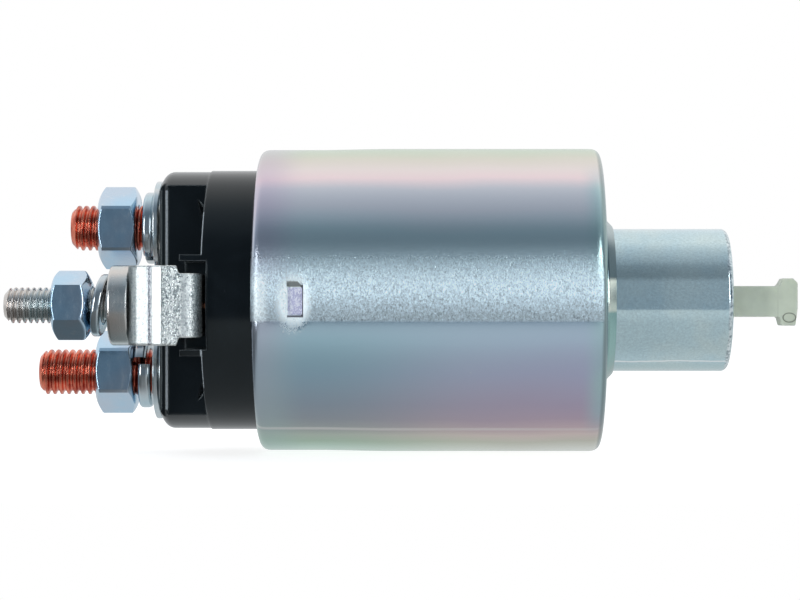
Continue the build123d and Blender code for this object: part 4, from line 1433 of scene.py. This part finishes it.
class SOLENOID_OT_coil(bpy.types.Operator):
    """Bobbin, the two windings, their wrap and leads, guide sleeve and wave washer"""
    bl_idname = "solenoid.coil"
    bl_label = "Coil"

    def execute(self, context):
        settings = context.scene.solenoid_coil
        enamel = enamel_finish(settings)
        self.winding("pull_in_winding", settings.pull_in_wire / MM, enamel)
        self.winding("hold_in_winding", settings.hold_in_wire / MM, enamel)
        for node in ("signal_lead", "motor_lead", "earth_lead"):
            dress(node, enamel)
        dress("coil_bobbin", moulded_finish("bobbin_nylon_finish", settings.bobbin))
        dress("winding_wrap", wrap_finish())
        dress("guide_sleeve", turned_finish("drawn_brass", (0.76, 0.60, 0.30), rough=0.25))
        self.wave_washer(turned_finish("wave_spring_steel", settings.spring_steel, rough=0.3))
        return {"FINISHED"}

    def winding(self, node, wire, finish):
        """Layer-wound coil: its outside and inside show the turns as rounded ridges."""
        steps, ridge = 6, 0.42
        low, high = box_mm(node)
        count = max(1, int((high.x - low.x) / wire))
        pitch = (high.x - low.x) / count
        outline = []
        for radius, sign, turns in ((high.z, -1, range(count)),
                                    (self.inner_radius(node), 1, reversed(range(count)))):
            for turn in turns:
                for step in range(steps):
                    angle = math.pi * (step + 0.5) / steps
                    x = low.x + pitch * (turn + 0.5) + sign * math.cos(angle) * pitch / 2
                    outline.append((x, radius + sign * (1 - math.sin(angle)) * pitch * ridge))
        new_piece(node, lathe(outline, columns=96), finish, crease=60)

    def inner_radius(self, node):
        """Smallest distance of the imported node's points from the axis, in millimetres."""
        return min(math.hypot(v.co.y, v.co.z) for v in NODES[node].data.vertices) / MM

    def wave_washer(self, finish):
        """Thin ring that waves four times round between the bobbin and the end wall."""
        node, thick, columns = "bobbin_wave_washer", 0.3, 144
        low, high = box_mm(node)
        middle = (low.x + high.x) / 2
        swing = (high.x - low.x - thick) / 2
        outline = ring_section(-thick / 2, thick / 2, self.inner_radius(node), high.z,
                               (0.08, 0.08, 0.08, 0.08), 2)
        verts = [turned_point(middle + x + swing * math.sin(4 * angle), r, angle)
                 for x, r in outline for angle in round_angles(columns)]
        new_piece(node, (verts, turned_faces(len(outline), columns)), finish)


class SOLENOID_OT_moving_contact(bpy.types.Operator):
    """Stationary core, contact rod, disc, insulators and clip"""
    bl_idname = "solenoid.moving_contact"
    bl_label = "Core and moving contact"

    def execute(self, context):
        dress("stationary_core", turned_finish("soft_iron", (0.48, 0.49, 0.50), rough=0.36))
        dress("contact_rod", turned_finish("rod_steel", (0.52, 0.53, 0.54), rough=0.26))
        dress("rod_clip", turned_finish("clip_steel", (0.30, 0.31, 0.32), rough=0.34))
        dress("contact_disc", copper_finish(context.scene.solenoid_terminals))
        insulator = moulded_finish("phenolic_paper", (0.30, 0.17, 0.09), rough=0.5)
        for node in ("disc_front_insulator", "disc_rear_insulator"):
            dress(node, insulator)
        return {"FINISHED"}


class SOLENOID_PT_panel(bpy.types.Panel):
    """Sizes, colours and pieces of the starter solenoid"""
    bl_idname = "SOLENOID_PT_panel"
    bl_label = "Starter solenoid"
    bl_space_type = "VIEW_3D"
    bl_region_type = "UI"
    bl_category = "Solenoid"

    def draw(self, context):
        for label, name, _, operators in PARTS:
            column = self.layout.column(align=True)
            column.label(text=label)
            settings = getattr(context.scene, name)
            for key in settings.bl_rna.properties.keys():
                if key not in ("rna_type", "name"):
                    column.prop(settings, key)
            for operator in operators:
                column.operator(operator.bl_idname)


PARTS = (
    ("Stage", "solenoid_stage", StageSettings, [SOLENOID_OT_stage]),
    ("Shell", "solenoid_shell", ShellSettings, [SOLENOID_OT_shell]),
    ("Cap", "solenoid_cap", CapSettings, [SOLENOID_OT_cap]),
    ("Terminals", "solenoid_terminals", TerminalSettings,
     [SOLENOID_OT_copper_studs, SOLENOID_OT_nuts, SOLENOID_OT_washers, SOLENOID_OT_control_stud]),
    ("Strap", "solenoid_strap", StrapSettings, [SOLENOID_OT_strap]),
    ("Plunger and hook", "solenoid_pull", PullSettings, [SOLENOID_OT_plunger, SOLENOID_OT_hook]),
    ("Coil and contact", "solenoid_coil", CoilSettings,
     [SOLENOID_OT_springs, SOLENOID_OT_coil, SOLENOID_OT_moving_contact]),
)
OPERATORS = [operator for *_, operators in PARTS for operator in operators]
CLASSES = [group for _, _, group, _ in PARTS] + OPERATORS + [SOLENOID_PT_panel]


def register():
    for kind in CLASSES:
        bpy.utils.register_class(kind)
    for _, name, group, _ in PARTS:
        setattr(bpy.types.Scene, name, PointerProperty(type=group))


def unregister():
    for _, name, _, _ in PARTS:
        delattr(bpy.types.Scene, name)
    for kind in reversed(CLASSES):
        bpy.utils.unregister_class(kind)


def main():
    register()
    for operator in OPERATORS:
        group, name = operator.bl_idname.split(".")
        getattr(getattr(bpy.ops, group), name)()


if __name__ == "__main__":
    main()
